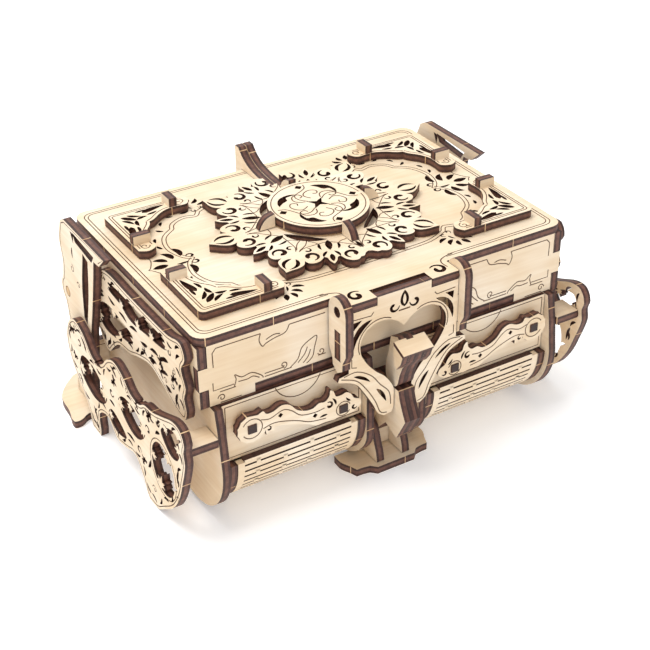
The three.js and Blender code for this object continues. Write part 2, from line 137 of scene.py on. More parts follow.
def band(path, width, closed=False):
    """The outline of a stroke along a path; `width` is a number or a function of 0..1 along it."""
    p = np.array(path, float)
    ahead = np.roll(p, -1, 0) - p
    if not closed:
        ahead[-1] = ahead[-2]
    ahead /= np.maximum(np.linalg.norm(ahead, axis=1), 1e-6)[:, None]
    behind = np.roll(ahead, 1, 0)
    if not closed:
        behind[0] = ahead[0]
    along = ahead + behind
    along /= np.maximum(np.linalg.norm(along, axis=1), 1e-6)[:, None]
    side = np.stack([-along[:, 1], along[:, 0]], 1)
    t = np.linspace(0, 1, len(p))
    w = np.array([width(x) for x in t] if callable(width) else [width] * len(p)) / 2
    left, right = p + side * w[:, None], p - side * w[:, None]
    if closed:
        return [[tuple(q) for q in left], [tuple(q) for q in right]]
    return [tuple(q) for q in left] + [tuple(q) for q in right[::-1]]


def taper(widest, tip=0.12, peak=0.45):
    """A width that swells from a tip to `widest` and thins again."""
    power = math.log(0.5) / math.log(peak)
    return lambda t: tip + (widest - tip) * math.sin(math.pi * t**power) ** 0.8


def leaf(base, tip, width, bend=0.0, peak=0.45, steps=8):
    """A leaf from base to tip, bowed sideways by `bend`."""
    a, b = Vector(base), Vector(tip)
    side = Vector((a.y - b.y, b.x - a.x)).normalized()
    path = []
    for i in range(steps + 1):
        t = i / steps
        path.append(tuple(a.lerp(b, t) + side * (bend * 4 * t * (1 - t))))
    return band(path, taper(width, 0.06, peak))


def winding(centre, radius, start, sweep, close, steps):
    """A spiral that winds in from `radius` to the share `close` of it."""
    path = []
    for i in range(steps + 1):
        t = i / steps
        r = radius * (1 - (1 - close) * t)
        a = math.radians(start + sweep * t)
        path.append((centre[0] + r * math.cos(a), centre[1] + r * math.sin(a)))
    return path


def curl(centre, radius, start, sweep, width, close=0.25):
    """A comma: a spiral that starts wide at `radius` and winds in to a small round end."""
    path = winding(centre, radius, start, sweep, close, max(10, int(abs(sweep) / 18)))
    return band(path, lambda t: width * (0.12 + 0.88 * math.sin(math.pi * min(1, t * 0.62 + 0.05)) ** 0.9))


def spiral_line(centre, radius, start, sweep, w, close=0.2):
    """An engraved spiral."""
    return [("mark", band(winding(centre, radius, start, sweep, close, max(12, int(abs(sweep) / 20))), w))]


def rings(path, gap):
    """The closed path moved outwards by `gap` (inwards when negative)."""
    pair = band(path, 2 * abs(gap), closed=True)
    return pair[(area_of(path) > 0) == (gap > 0)]


def line(path, width, closed=False):
    """Shapes for an engraved line along a path."""
    if not closed:
        return [("mark", band(path, width))]
    p = list(path)
    half = len(p) // 2
    return [("mark", band(p[: half + 1], width)), ("mark", band(p[half:] + p[:1], width))]


def palmette(at, degrees, size, fan=62, count=5, root=0.0):
    """Curved leaves fanning out from a point; the middle one is the longest."""
    out = []
    for k in range(count):
        share = k / (count - 1) * 2 - 1
        long = size * (1 - 0.42 * abs(share))
        a = leaf((size * root, 0), (long, 0), size * 0.27, -0.2 * size * share, 0.4, 6)
        out.append(moved(turned(a, degrees + fan * share), at))
    return out


def palmettes(rows, kind, *shape):
    """Shapes for palmettes from rows of place, direction and size."""
    return [(kind, p) for row in rows for p in palmette(*row, *shape)]


def cut_leaves(rows):
    """Pierced leaves from rows of base, tip, width and bend."""
    return [("cut", leaf(*row)) for row in rows]


def cut_curls(rows, radius, width):
    """Pierced commas from rows of centre, start and sweep."""
    return [("cut", curl(centre, radius, start, sweep, width)) for centre, start, sweep in rows]


def spirals(rows, radius, w):
    """Engraved spirals from rows of centre, start and sweep."""
    return [shape for centre, start,
        sweep in rows for shape in spiral_line(centre, radius, start, sweep, w)]


def garland(loop, inset, spacing, length, width, first=0.0, last=1.0):
    """Leaves laid end to end along a loop, a little inside it, leaning in and out by turns."""
    p = np.array(rings(loop, -inset), float)
    if area_of(p) < 0:
        p = p[::-1]
    step = np.linalg.norm(np.roll(p, -1, 0) - p, axis=1)
    ends = np.concatenate([[0], np.cumsum(step)])
    total = ends[-1]
    out = []
    for k in range(int(total * (last - first) / spacing)):
        d = total * first + (k + 0.5) * spacing
        i = min(int(np.searchsorted(ends, d, side="right")) - 1, len(p) - 1)
        j = (i + 2) % len(p)
        way = (p[j] - p[i]) / max(np.linalg.norm(p[j] - p[i]), 1e-9)
        at = p[i] + (p[(i + 1) % len(p)] - p[i]) * ((d - ends[i]) / max(step[i], 1e-9))
        lean = 1 if k % 2 else -1
        way = np.array(Matrix.Rotation(math.radians(24 * lean), 2) @ Vector(way))
        out.append(leaf(at - way * length / 2, at + way * length / 2, width, 0.16 * length * lean))
    return out


# ---- Reading the frame's sheets ----
PLANES = {"top": (2, 1, 0, 1), "front": (1, -1, 0, 2), "left": (0, -1, 1, 2), "right": (0, 1, 1, 2)}


def loops_of(node, plane):
    """Outlines of a frame sheet's outer face, the largest first, in millimetres."""
    axis, sign, u, v = PLANES[plane]
    mesh = frame["nodes"][node].data
    co = np.array([p.co for p in mesh.vertices]) / MM
    co[:, 1] -= FRONT
    co = np.round(co, 3)
    level = (co[:, axis] * sign).max()
    edges = set()
    for face in mesh.polygons:
        ids = list(face.vertices)
        if face.normal[axis] * sign > 0.9 and all(abs(co[i, axis] * sign - level) < 0.05 for i in ids):
            for a, b in zip(ids, ids[1:] + ids[:1]):
                edges.add(((co[a, u], co[a, v]), (co[b, u], co[b, v])))
    rim = {a: b for a, b in edges if (b, a) not in edges}
    loops = []
    while rim:
        start, at = rim.popitem()
        loop = [start]
        while at != start and at in rim:
            loop.append(at)
            at = rim.pop(at)
        if len(loop) > 2:
            loops.append([(float(a), float(b)) for a, b in loop])
    return sorted(loops, key=lambda q: -abs(area_of(q)))


def area_of(loop):
    """Signed area of a loop."""
    p = np.array(loop)
    return 0.5 * float(np.sum(p[:, 0] * np.roll(p[:, 1], -1) - np.roll(p[:, 0], -1) * p[:, 1]))


def refine(loop, sharp=34, piece=0.9):
    """Rounds the frame's facets: a smooth run through the gentle corners, sharp ones kept."""
    p = [Vector(q) for q in loop]
    n = len(p)
    way = [(p[(i + 1) % n] - p[i]).normalized() for i in range(n)]
    size = [(p[(i + 1) % n] - p[i]).length for i in range(n)]
    hard = [way[i - 1].angle(way[i], 0) > math.radians(sharp) for i in range(n)]
    out = []
    for i in range(n):
        j = (i + 1) % n
        straight = size[i] > 2.6 * max(size[i - 1], size[j]) or (hard[i] and hard[j])
        t0 = way[i] if hard[i] or straight else (way[i - 1] + way[i]).normalized()
        t1 = way[i] if hard[j] or straight else (way[i] + way[j]).normalized()
        count = 1 if straight else max(1, int(size[i] / piece))
        for k in range(count):
            t = k / count
            a, b = 2 * t**3 - 3 * t * t + 1, t**3 - 2 * t * t + t
            c, d = -2 * t**3 + 3 * t * t, t**3 - t * t
            q = a * p[i] + b * size[i] * t0 + c * p[j] + d * size[i] * t1
            out.append((q.x, q.y))
    return out


def sits(node, plane):
    """Where a frame sheet lies across its plane: the inner face and the thickness."""
    axis, sign, _, _ = PLANES[plane]
    low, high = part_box(node)
    a, b = low[axis] / MM, high[axis] / MM
    if axis == 1:
        a, b = a - FRONT, b - FRONT
    near = a if sign > 0 else -b
    return near, b - a


def placing(plane, near):
    """The matrix that takes a drawing (across, up, out) to the object's frame, in metres."""
    axis, sign, u, v = PLANES[plane]
    m = Matrix.Diagonal((0, 0, 0, 1))
    m[u][0] = MM
    m[v][1] = MM
    m[axis][2] = sign * MM
    m[axis][3] = sign * near * MM
    m[1][3] += FRONT * MM
    return m


# ---- Cutting sheets ----
def tidy(loop):
    """Drops points that all but coincide and makes the loop run anticlockwise."""
    out = []
    for q in loop:
        if not out or math.dist(q, out[-1]) > 0.02:
            out.append(q)
    if len(out) > 1 and math.dist(out[0], out[-1]) < 0.02:
        out.pop()
    return out if area_of(out) > 0 else out[::-1]


def cut_sheet(name, shapes, thick, placed, materials):
    """A sheet cut by the painted shapes, in order: ply adds, cut removes, keep puts back inside
    the sheet, mark engraves the outer face. Returns the object, placed in the frame."""
    depth = bpy.context.scene.casket_sizes.engraving / MM
    points, faces, kinds = [], [], []
    for kind, loop in shapes:
        loop = tidy(loop)
        if len(loop) < 3:
            continue
        faces.append(list(range(len(points), len(points) + len(loop))))
        kinds.append(kind)
        points += [Vector(q) for q in loop]
    flat, _, tris, _, _, owners = delaunay_2d_cdt(points, [], faces, 0, 1e-4, True)
    state = []
    for owned in owners:
        now = None
        for k in sorted(set(owned)):
            kind = kinds[k]
            if kind == "ply" or (kind == "keep" and now is not None):
                now = "ply"
            elif kind == "cut" and now is not None:
                now = "void"
            elif kind == "mark" and now == "ply":
                now = "mark"
        state.append(now if now in ("ply", "mark") else None)
    by_edge = {}
    for t, tri in enumerate(tris):
        for a, b in zip(tri, tri[1:] + tri[:1]):
            by_edge[a, b] = state[t]
    verts, ids, layers = [], {}, []

    def corner(i, level):
        if (i, level) not in ids:
            out = (0.0, thick, thick - depth)[level]
            ids[i, level] = len(verts)
            verts.append(placed @ Vector((flat[i][0], flat[i][1], out)))
            layers.append(out)
        return ids[i, level]

    polys, looks = [], []
    for t, tri in enumerate(tris):
        if state[t] is None:
            continue
        up = 1 if state[t] == "ply" else 2
        polys.append([corner(i, up) for i in tri])
        looks.append(0 if up == 1 else 2)
        polys.append([corner(i, 0) for i in reversed(tri)])
        looks.append(0)
        for a, b in zip(tri, tri[1:] + tri[:1]):
            beyond = by_edge.get((b, a))
            if beyond is None:
                polys.append([corner(a, 0), corner(b, 0), corner(b, up), corner(a, up)])
                looks.append(1)
            elif up == 1 and beyond == "mark":
                polys.append([corner(a, 2), corner(b, 2), corner(b, 1), corner(a, 1)])
                looks.append(2)
    need(polys, name)
    if placed.determinant() < 0:
        polys = [p[::-1] for p in polys]
    mesh = bpy.data.meshes.new(name)
    mesh.from_pydata(verts, [], polys)
    mesh.polygons.foreach_set("material_index", looks)
    layer = mesh.attributes.new("layer", "FLOAT", "POINT")
    layer.data.foreach_set("value", layers)
    for material in materials:
        mesh.materials.append(material)
    return linked(name, mesh)


def linked(name, mesh):
    """An object of the mesh, in the scene."""
    made = bpy.data.objects.new(name, mesh)
    bpy.context.scene.collection.objects.link(made)
    return made


def settle(piece, body, nodes=()):
    """Hands a finished piece to its body, in place of the frame's nodes."""
    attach(piece, body)
    if nodes:
        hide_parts(*nodes)
    return piece


def looks_for(plane):
    """Face, edge and engraving for a sheet; the grain runs across fronts and along sides."""
    grain = "along" if plane in ("left", "right") else "across"
    return [bpy.data.materials[n] for n in (f"birch_veneer_{grain}", "charred_cut_edge", "engraved_line")]


def ply_from(node, plane, extra=(), outline=None, keep_holes=True):
    """Cuts the frame's sheet again with its facets rounded and the extra shapes painted on."""
    loops = loops_of(node, plane)
    near, thick = sits(node, plane)
    shapes = [("ply", outline or refine(loops[0]))]
    if keep_holes:
        shapes += [("cut", refine(loop)) for loop in loops[1:]]
    shapes += list(extra)
    piece = cut_sheet(f"ply_{node}", shapes, thick, placing(plane, near), looks_for(plane))
    EDGES.append((node, plane, shapes[0][1], near, thick))
    return settle(piece, BODY_OF[node], [node])


def need(found, what):
    """Stops the script when a piece could not be made."""
    if not found:
        raise RuntimeError(f"could not make {what}")


# ---- Colours and materials ----
def linear(code):
    """An sRGB hex colour as linear RGBA."""
    parts = [int(code[i : i + 2], 16) / 255 for i in (1, 3, 5)]
    return tuple(c / 12.92 if c <= 0.04045 else ((c + 0.055) / 1.055) ** 2.4 for c in parts) + (1.0,)


def add_node(tree, kind, inputs=None, stops=(), **settings):
    """Adds a node. An input is a value, or another node's output to link from; stops fill a ramp."""
    made = tree.nodes.new(kind)
    for key, value in settings.items():
        setattr(made, key, value)
    for key, value in (inputs or {}).items():
        if isinstance(value, bpy.types.NodeSocket):
            tree.links.new(value, made.inputs[key])
        else:
            made.inputs[key].default_value = value
    if stops:
        elements = made.color_ramp.elements
        while len(elements) < len(stops):
            elements.new(0.5)
        for element, (position, colour) in zip(elements, stops):
            element.position = position
            element.color = colour
    return made


def new_material(name):
    """A new node material's tree and Principled shader."""
    material = bpy.data.materials.new(name)
    material.use_nodes = True
    tree = material.node_tree
    return tree, tree.nodes["Principled BSDF"]


def surfaced(tree, shader, colour, tone, height, strength):
    """Links a colour multiplied by a tone, and a shallow bump, to the shader."""
    mixed = add_node(
        tree, "ShaderNodeMix", {"Factor": 1.0, "A": colour, "B": tone}, data_type="RGBA",
        blend_type="MULTIPLY"
    )
    bump = add_node(tree, "ShaderNodeBump", {"Height": height, "Strength": strength, "Distance": 0.0002})
    tree.links.new(mixed.outputs[2], shader.inputs["Base Color"])
    tree.links.new(bump.outputs["Normal"], shader.inputs["Normal"])


def birch_veneer(name, stretch, colours):
    """Rotary-cut birch, sanded: pale cream, faint long grain, tiny darker flecks, matt."""
    tree, shader = new_material(name)
    place = add_node(tree, "ShaderNodeTexCoord").outputs["Object"]
    along = add_node(tree, "ShaderNodeMapping", {"Vector": place, "Scale": stretch})
    # The broadest streaks are 1.6 mm across (1 / 620 m), coarser than real birch grain so that they show.
    streaks = add_node(
        tree, "ShaderNodeTexNoise",
        {"Vector": along.outputs[0], "Scale": 620.0, "Detail": 4.0, "Roughness": 0.55},
    ).outputs["Fac"]
    clouds = add_node(tree, "ShaderNodeTexNoise", {"Vector": place, "Scale": 38.0, "Detail": 2.0})
    grain = add_node(tree, "ShaderNodeValToRGB", {"Fac": streaks}, list(zip((0.3, 0.52, 0.72), colours)))
    tone = add_node(
        tree, "ShaderNodeValToRGB", {"Fac": clouds.outputs["Fac"]},
        [(0.35, linear("#f2e6d2")), (0.68, linear("#fffdf8"))],
    )
    surfaced(tree, shader, grain.outputs["Color"], tone.outputs["Color"], streaks, 0.12)
    shader.inputs["Roughness"].default_value = 0.62
    shader.inputs["IOR"].default_value = 1.47


def charred_edge(name, colours):
    """Laser-cut edge: charred dark brown, its three plies showing as fine bands, dull."""
    tree, shader = new_material(name)
    layer = add_node(tree, "ShaderNodeAttribute", attribute_name="layer", attribute_type="GEOMETRY")
    # The bands repeat with the sheet's thickness: outer ply, glue line, middle ply and so on.
    share = add_node(tree, "ShaderNodeMath", {0: layer.outputs["Fac"], 1: 1 / SHEET}, operation="MULTIPLY")
    within = add_node(tree, "ShaderNodeMath", {0: share.outputs[0]}, operation="FRACT")
    tones = [colours[i] for i in (1, 1, 0, 0, 2, 1)]
    bands = add_node(
        tree, "ShaderNodeValToRGB", {"Fac": within.outputs[0]},
        list(zip((0.0, 0.27, 0.34, 0.66, 0.73, 1.0), tones)),
    )
    place = add_node(tree, "ShaderNodeTexCoord").outputs["Object"]
    mottle = add_node(
        tree, "ShaderNodeTexNoise", {"Vector": place, "Scale": 420.0, "Detail": 5.0, "Roughness": 0.7}
    ).outputs["Fac"]
    soot = add_node(
        tree, "ShaderNodeValToRGB", {"Fac": mottle}, [(0.3, linear("#9c8a84")), (0.7, linear("#ffffff"))]
    )
    surfaced(tree, shader, bands.outputs["Color"], soot.outputs["Color"], mottle, 0.3)
    shader.inputs["Roughness"].default_value = 0.6
    shader.inputs["IOR"].default_value = 1.5


def scorched(name, pale, dark, roughness):
    """Birch browned by the beam: one hue, uneven along the stroke."""
    tree, shader = new_material(name)
    place = add_node(tree, "ShaderNodeTexCoord").outputs["Object"]
    patches = add_node(tree, "ShaderNodeTexNoise", {"Vector": place, "Scale": 300.0, "Detail": 3.0})
    colour = add_node(
        tree, "ShaderNodeValToRGB", {"Fac": patches.outputs["Fac"]}, [(0.35, dark), (0.65, pale)]
    )
    tree.links.new(colour.outputs["Color"], shader.inputs["Base Color"])
    shader.inputs["Roughness"].default_value = roughness


# ---- Geometry Nodes ----
def tree_with(name, sockets):
    """A Geometry Nodes tree with the named inputs; returns the tree, its input and output nodes."""
    tree = bpy.data.node_groups.new(name, "GeometryNodeTree")
    tree.interface.new_socket(name="Geometry", in_out="INPUT", socket_type="NodeSocketGeometry")
    tree.interface.new_socket(name="Geometry", in_out="OUTPUT", socket_type="NodeSocketGeometry")
    for label, kind, default in sockets:
        socket = tree.interface.new_socket(name=label, in_out="INPUT", socket_type=f"NodeSocket{kind}")
        if default is not None:
            socket.default_value = default
    return tree, add_node(tree, "NodeGroupInput"), add_node(tree, "NodeGroupOutput")


def grown(source, tree, values, name):
    """Runs a tree on an object and returns the result as a plain mesh object at the origin."""
    modifier = source.modifiers.new("grow", "NODES")
    modifier.node_group = tree
    for item in tree.interface.items_tree:
        if item.item_type == "SOCKET" and item.in_out == "INPUT" and item.name in values:
            modifier[item.identifier] = values[item.name]
    graph = bpy.context.evaluated_depsgraph_get()
    mesh = bpy.data.meshes.new_from_object(source.evaluated_get(graph), depsgraph=graph)
    source.modifiers.remove(modifier)
    mesh.name = name
    need(len(mesh.polygons), name)
    return linked(name, mesh)


def wire(name, runs):
    """An object of bare edges through each run of points; closed runs join up."""
    verts, edges = [], []
    for run, closed in runs:
        start = len(verts)
        verts += run
        edges += [(start + i, start + i + 1) for i in range(len(run) - 1)]
        if closed:
            edges.append((start + len(run) - 1, start))
    mesh = bpy.data.meshes.new(name)
    mesh.from_pydata(verts, edges, [])
    return linked(name, mesh)


def stub_tree():
    """Thin pale stubs across a charred edge, spaced along each outline, where bridges were cut."""
    tree, start, end = tree_with(
        "bridge_stubs",
        [("Spacing", "Float", 0.024), ("Thickness", "Float", 0.0032), ("Width", "Float", 0.0003),
         ("Out", "Vector", (0, 0, 1)), ("Material", "Material", None)],
    )
    curve = add_node(tree, "GeometryNodeMeshToCurve", {0: start.outputs["Geometry"]})
    dots = add_node(
        tree, "GeometryNodeCurveToPoints", {"Curve": curve.outputs[0], "Length": start.outputs["Spacing"]},
        mode="LENGTH",
    )
    turn = add_node(
        tree, "FunctionNodeAxesToRotation", {0: start.outputs["Out"], 1: dots.outputs["Tangent"]},
        primary_axis="Z", secondary_axis="X",
    )
    size = add_node(
        tree, "ShaderNodeCombineXYZ",
        {"X": start.outputs["Width"], "Y": 0.00006, "Z": start.outputs["Thickness"]},
    )
    stub = add_node(tree, "GeometryNodeMeshCube", {"Size": size.outputs[0]})
    on = add_node(
        tree, "GeometryNodeInstanceOnPoints",
        {"Points": dots.outputs["Points"], "Instance": stub.outputs["Mesh"], "Rotation": turn.outputs[0]},
    )
    real = add_node(tree, "GeometryNodeRealizeInstances", {0: on.outputs[0]})
    dressed = add_node(
        tree, "GeometryNodeSetMaterial",
        {"Geometry": real.outputs[0], "Material": start.outputs["Material"]}
    )
    tree.links.new(dressed.outputs[0], end.inputs["Geometry"])
    return tree


def slat_tree():
    """A kerf-bent sheet: narrow slats side by side along the bend, tied by staggered bridges."""
    tree, start, end = tree_with(
        "kerf_slats",
        [("Length", "Float", 0.04), ("Thickness", "Float", 0.0026), ("Slit", "Float", 0.0004),
         ("Pitch", "Float", 0.0024), ("Bridge", "Float", 0.0022), ("Bridges", "Int", 3),
         ("Face", "Material", None), ("Edge", "Material", None)],
    )
    into = start.outputs
    curve = add_node(tree, "GeometryNodeMeshToCurve", {0: into["Geometry"]})
    dots = add_node(tree, "GeometryNodeCurveToPoints",
        {"Curve": curve.outputs[0], "Length": into["Pitch"]}, mode="LENGTH")
    turn = add_node(
        tree, "FunctionNodeAxesToRotation", {0: (1.0, 0.0, 0.0), 1: dots.outputs["Tangent"]},
        primary_axis="X", secondary_axis="Y",
    )
    wide = add_node(tree, "ShaderNodeMath", {0: into["Pitch"], 1: into["Slit"]}, operation="SUBTRACT")
    slat_size = add_node(
        tree, "ShaderNodeCombineXYZ", {"X": into["Length"], "Y": wide.outputs[0], "Z": into["Thickness"]}
    )
    slat = add_node(tree, "GeometryNodeMeshCube", {"Size": slat_size.outputs[0]})
    slats = add_node(
        tree, "GeometryNodeInstanceOnPoints",
        {"Points": dots.outputs["Points"], "Instance": slat.outputs["Mesh"], "Rotation": turn.outputs[0]},
    )
    # The bridges of one slit sit at even shares of the length, shifted by half a share in the next.
    share = add_node(tree, "ShaderNodeMath", {0: into["Length"], 1: into["Bridges"]}, operation="DIVIDE")
    step = add_node(tree, "ShaderNodeCombineXYZ", {"X": share.outputs[0]})
    count = add_node(tree, "ShaderNodeMath", {0: into["Bridges"], 1: 0.0}, operation="ADD")
    back = add_node(tree, "ShaderNodeMath", {0: into["Length"], 1: -0.5}, operation="MULTIPLY")
    quarter = add_node(tree, "ShaderNodeMath", {0: share.outputs[0], 1: 0.25, 2: back.outputs[0]},
        operation="MULTIPLY_ADD")
    first = add_node(tree, "ShaderNodeCombineXYZ", {"X": quarter.outputs[0]})
    row = add_node(
        tree, "GeometryNodeMeshLine",
        {"Count": count.outputs[0], "Start Location": first.outputs[0], "Offset": step.outputs[0]},
    )
    bridge_size = add_node(
        tree, "ShaderNodeCombineXYZ", {"X": into["Bridge"], "Y": into["Pitch"], "Z": into["Thickness"]}
    )
    bridge = add_node(tree, "GeometryNodeMeshCube", {"Size": bridge_size.outputs[0]})
    bridges = add_node(tree, "GeometryNodeInstanceOnPoints",
        {"Points": row.outputs[0], "Instance": bridge.outputs["Mesh"]})
    rows = add_node(
        tree, "GeometryNodeInstanceOnPoints",
        {"Points": dots.outputs["Points"], "Instance": bridges.outputs[0], "Rotation": turn.outputs[0]},
    )
    index = add_node(tree, "GeometryNodeInputIndex")
    odd = add_node(tree, "ShaderNodeMath", {0: index.outputs[0], 1: 2.0}, operation="MODULO")
    half = add_node(tree, "ShaderNodeMath", {0: odd.outputs[0], 1: share.outputs[0]}, operation="MULTIPLY")
    halved = add_node(tree, "ShaderNodeMath", {0: half.outputs[0], 1: 0.5}, operation="MULTIPLY")
    over = add_node(tree, "ShaderNodeMath", {0: into["Pitch"], 1: 0.5}, operation="MULTIPLY")
    shift = add_node(tree, "ShaderNodeCombineXYZ", {"X": halved.outputs[0], "Y": over.outputs[0]})
    moved = add_node(
        tree, "GeometryNodeTranslateInstances",
        {"Instances": rows.outputs[0], "Translation": shift.outputs[0], "Local Space": True},
    )
    both = add_node(tree, "GeometryNodeJoinGeometry")
    tree.links.new(slats.outputs[0], both.inputs[0])
    tree.links.new(moved.outputs[0], both.inputs[0])
    real = add_node(tree, "GeometryNodeRealizeInstances", {0: both.outputs[0]})
    dark = add_node(tree, "GeometryNodeSetMaterial",
        {"Geometry": real.outputs[0], "Material": into["Edge"]})
    normal = add_node(tree, "GeometryNodeInputNormal")
    middle = add_node(tree, "GeometryNodeInputPosition")
    # A face that looks along the radius from the bend's axis is veneer, the rest is charred.
    axis = add_node(tree, "ShaderNodeVectorMath", {0: middle.outputs[0], 1: BEND_AXIS},
        operation="SUBTRACT")
    radial = add_node(tree, "ShaderNodeVectorMath", {0: axis.outputs[0], 1: (0.0, 1.0, 1.0)},
        operation="MULTIPLY")
    unit = add_node(tree, "ShaderNodeVectorMath", {0: radial.outputs[0]}, operation="NORMALIZE")
    facing = add_node(tree, "ShaderNodeVectorMath", {0: unit.outputs[0], 1: normal.outputs[0]},
        operation="DOT_PRODUCT")
    size = add_node(tree, "ShaderNodeMath", {0: facing.outputs["Value"]}, operation="ABSOLUTE")
    flat = add_node(tree, "FunctionNodeCompare", {0: size.outputs[0], 1: 0.8}, data_type="FLOAT",
        operation="GREATER_THAN")
    pale = add_node(
        tree, "GeometryNodeSetMaterial",
        {"Geometry": dark.outputs[0], "Selection": flat.outputs[0], "Material": into["Face"]},
    )
    tree.links.new(pale.outputs[0], end.inputs["Geometry"])
    return tree


# ---- Settings ----
def length(name, description, metres):
    """A length setting."""
    return bpy.props.FloatProperty(name=name, description=description, default=metres, unit="LENGTH")


def colour(name, description, code):
    """A colour setting."""
    return bpy.props.FloatVectorProperty(
        name=name, description=description, subtype="COLOR", size=4, min=0, max=1, default=linear(code)
    )


class CasketSizes(bpy.types.PropertyGroup):
    """Sizes that a user would change."""

    line_width: length("Engraved line", "Width of an engraved line", 0.0004)
    engraving: length("Engraving depth", "Depth of the engraving", 0.00014)
    slat_pitch: length("Slat pitch", "Distance between the slits of a belly", 0.0024)
    slit: length("Slit", "Width of a kerf slit", 0.00045)
    stub_spacing: length("Stub spacing", "Distance between bridge stubs", 0.026)


class CasketColours(bpy.types.PropertyGroup):
    """Colours of the finishes."""

    birch: colour("Birch", "Main tone of the veneer", "#efdfca")
    birch_light: colour("Birch, early wood", "Lightest grain", "#f4e7d5")
    birch_dark: colour("Birch, late wood", "Darkest grain", "#ead8c0")
    char: colour("Char", "Main tone of a cut edge", "#54332a")
    char_light: colour("Char, middle ply", "Lighter ply in a cut edge", "#7c5242")
    char_dark: colour("Char, glue line", "Darkest band of a cut edge", "#36201a")
    engraved: colour("Engraving", "Tone of an engraved line", "#6b4a2f")


class PieceOperator:
    """The options that every operator shares."""

    bl_options = {"REGISTER", "UNDO"}


def line_width():
    """The width of an engraved line, in millimetres."""
    return bpy.context.scene.casket_sizes.line_width / MM


class CASKET_OT_finishes(PieceOperator, bpy.types.Operator):
    """Makes the birch, charred and engraved finishes"""

    bl_idname = "casket.finishes"
    bl_label = "Finishes"

    def execute(self, context):
        c = context.scene.casket_colours
        tones = [tuple(c.birch_light), tuple(c.birch), tuple(c.birch_dark)]
        birch_veneer("birch_veneer_across", (0.05, 1.0, 1.0), tones)
        birch_veneer("birch_veneer_along", (1.0, 0.05, 1.0), tones)
        charred_edge("charred_cut_edge", [tuple(c.char_light), tuple(c.char), tuple(c.char_dark)])
        dark = tuple(x * 0.55 for x in c.engraved[:3]) + (1.0,)
        scorched("engraved_line", tuple(c.engraved), dark, 0.75)
        scorched("uncharred_bridge_stub", linear("#e8c79b"), linear("#b98d5f"), 0.7)
        scorched("birch_stick", linear("#dcb883"), linear("#a97c4c"), 0.6)
        need(len(bpy.data.materials) >= 6, "the finishes")
        return {"FINISHED"}


class CASKET_OT_carcass(PieceOperator, bpy.types.Operator):
    """Cuts the boards of the base: floor, walls, shelf and rear board"""

    bl_idname = "casket.carcass"
    bl_label = "Carcass"

    def execute(self, context):
        w = line_width()
        ply_from("base_floor", "top")
        ply_from("front_shelf", "top")
        ply_from("compartment_front_wall", "front")
        rear = loops_of("base_rear_wall", "front")[0]
        ply_from("base_rear_wall", "front", line(rings(refine(rear), -3.0), w, True))
        for side in ("left", "right"):
            ply_from(f"{side}_end_wall", side)
            ply_from(f"{side}_centre_wall", side)
            ply_from(f"{side}_side_tie", "top")
        ply_from("centre_front_plate", "front")
        return {"FINISHED"}


class CASKET_OT_foot(PieceOperator, bpy.types.Operator):
    """Cuts the front foot, its fins and the lock column"""

    bl_idname = "casket.foot"
    bl_label = "Front foot"

    def execute(self, context):
        ply_from("front_foot_plate", "top")
        ply_from("lock_column", "right")
        for side in ("left", "right"):
            ply_from(f"{side}_foot_fin", side)
        return {"FINISHED"}


def bar_outline():
    """Scalloped outline of the right bar: a ring at the outer peg, a flared head at the inner one."""
    ring = []
    for i, (x, z) in enumerate(arc(OUTER_PEG, 5.5, 205, 440, 26)):
        swell = 1 + 0.05 * (i % 3 == 1)
        ring.append((OUTER_PEG[0] + (x - OUTER_PEG[0]) * swell, OUTER_PEG[1] + (z - OUTER_PEG[1]) * swell))
    top = [
        (57.6, 46.8), (55.6, 47.6), (54.4, 46.0), (51.6, 46.0), (48.4, 47.3), (45.2, 46.2), (42.6, 43.2),
        (39.2, 41.5),
        (36.2, 41.3), (33.8, 42.6), (31.4, 42.3), (29.6, 44.0), (29.2, 46.2), (27.8, 45.2), (26.9, 42.9),
        (24.6, 42.7),
        (22.6, 43.1), (20.7, 41.7), (19.5, 39.6), (17.3, 38.5), (16.4, 36.5), (17.6, 34.9),
    ]
    low = [
        (19.6, 33.8), (22.6, 33.5), (25.4, 33.7), (28.0, 33.3), (31.4, 33.7), (34.6, 33.5), (37.4, 34.9),
        (40.2, 36.2), (44.4, 37.6), (48.4, 39.0),
        (51.2, 39.4), (51.4, 37.6), (53.2, 38.4), (54.6, 37.4),
    ]
    return ring[:-1] + spline(top, 3) + spline(low, 3)


def bar_shapes(w):
    """Engraving and small holes of the right ornate bar."""
    shapes = []
    for x, z in ((49.0, 43.4), (35.4, 38.0)):
        shapes.append(("cut", [(x - 1.0, z), (x, z - 1.0), (x + 1.0, z), (x, z + 1.0)]))
    hole = 1.75  # half width of a peg's hole
    for x, z in (OUTER_PEG, INNER_PEG):
        shapes.append(("cut", rect(x - hole, z - hole, x + hole, z + hole)))
    shapes += line(arc(OUTER_PEG, 3.9, 30, 330, 20), w)
    shapes += line(spline([(56.6, 44.4), (53, 43.6), (48, 45.2), (44.6, 43.6), (41, 40.4), (35.6, 39.4),
        (31.6, 39.8)]), w)
    shapes += line(spline([(55.8, 40.4), (52, 41.2), (47.6, 40.4), (42, 38.4), (37.4, 36.2), (31, 35.2)]),
        w)
    cuts = [
        curl((29.6, 40.2), 1.5, 60, 300, 1.1), curl((19.4, 36.0), 1.2, 200, 260, 0.9),
        leaf((26.9, 39.4), (28.4, 42.6), 0.9, 0.4),
        leaf((20.8, 39.0), (22.8, 41.0), 0.8, -0.3), curl((53.6, 39.6), 1.0, 90, 250, 0.8),
        leaf((30.4, 36.6), (33.6, 36.4), 0.9, 0.2),
    ]
    shapes += [("cut", c) for c in cuts]
    shapes += line(arc(INNER_PEG, 2.9, -150, 160, 14), w)
    return shapes


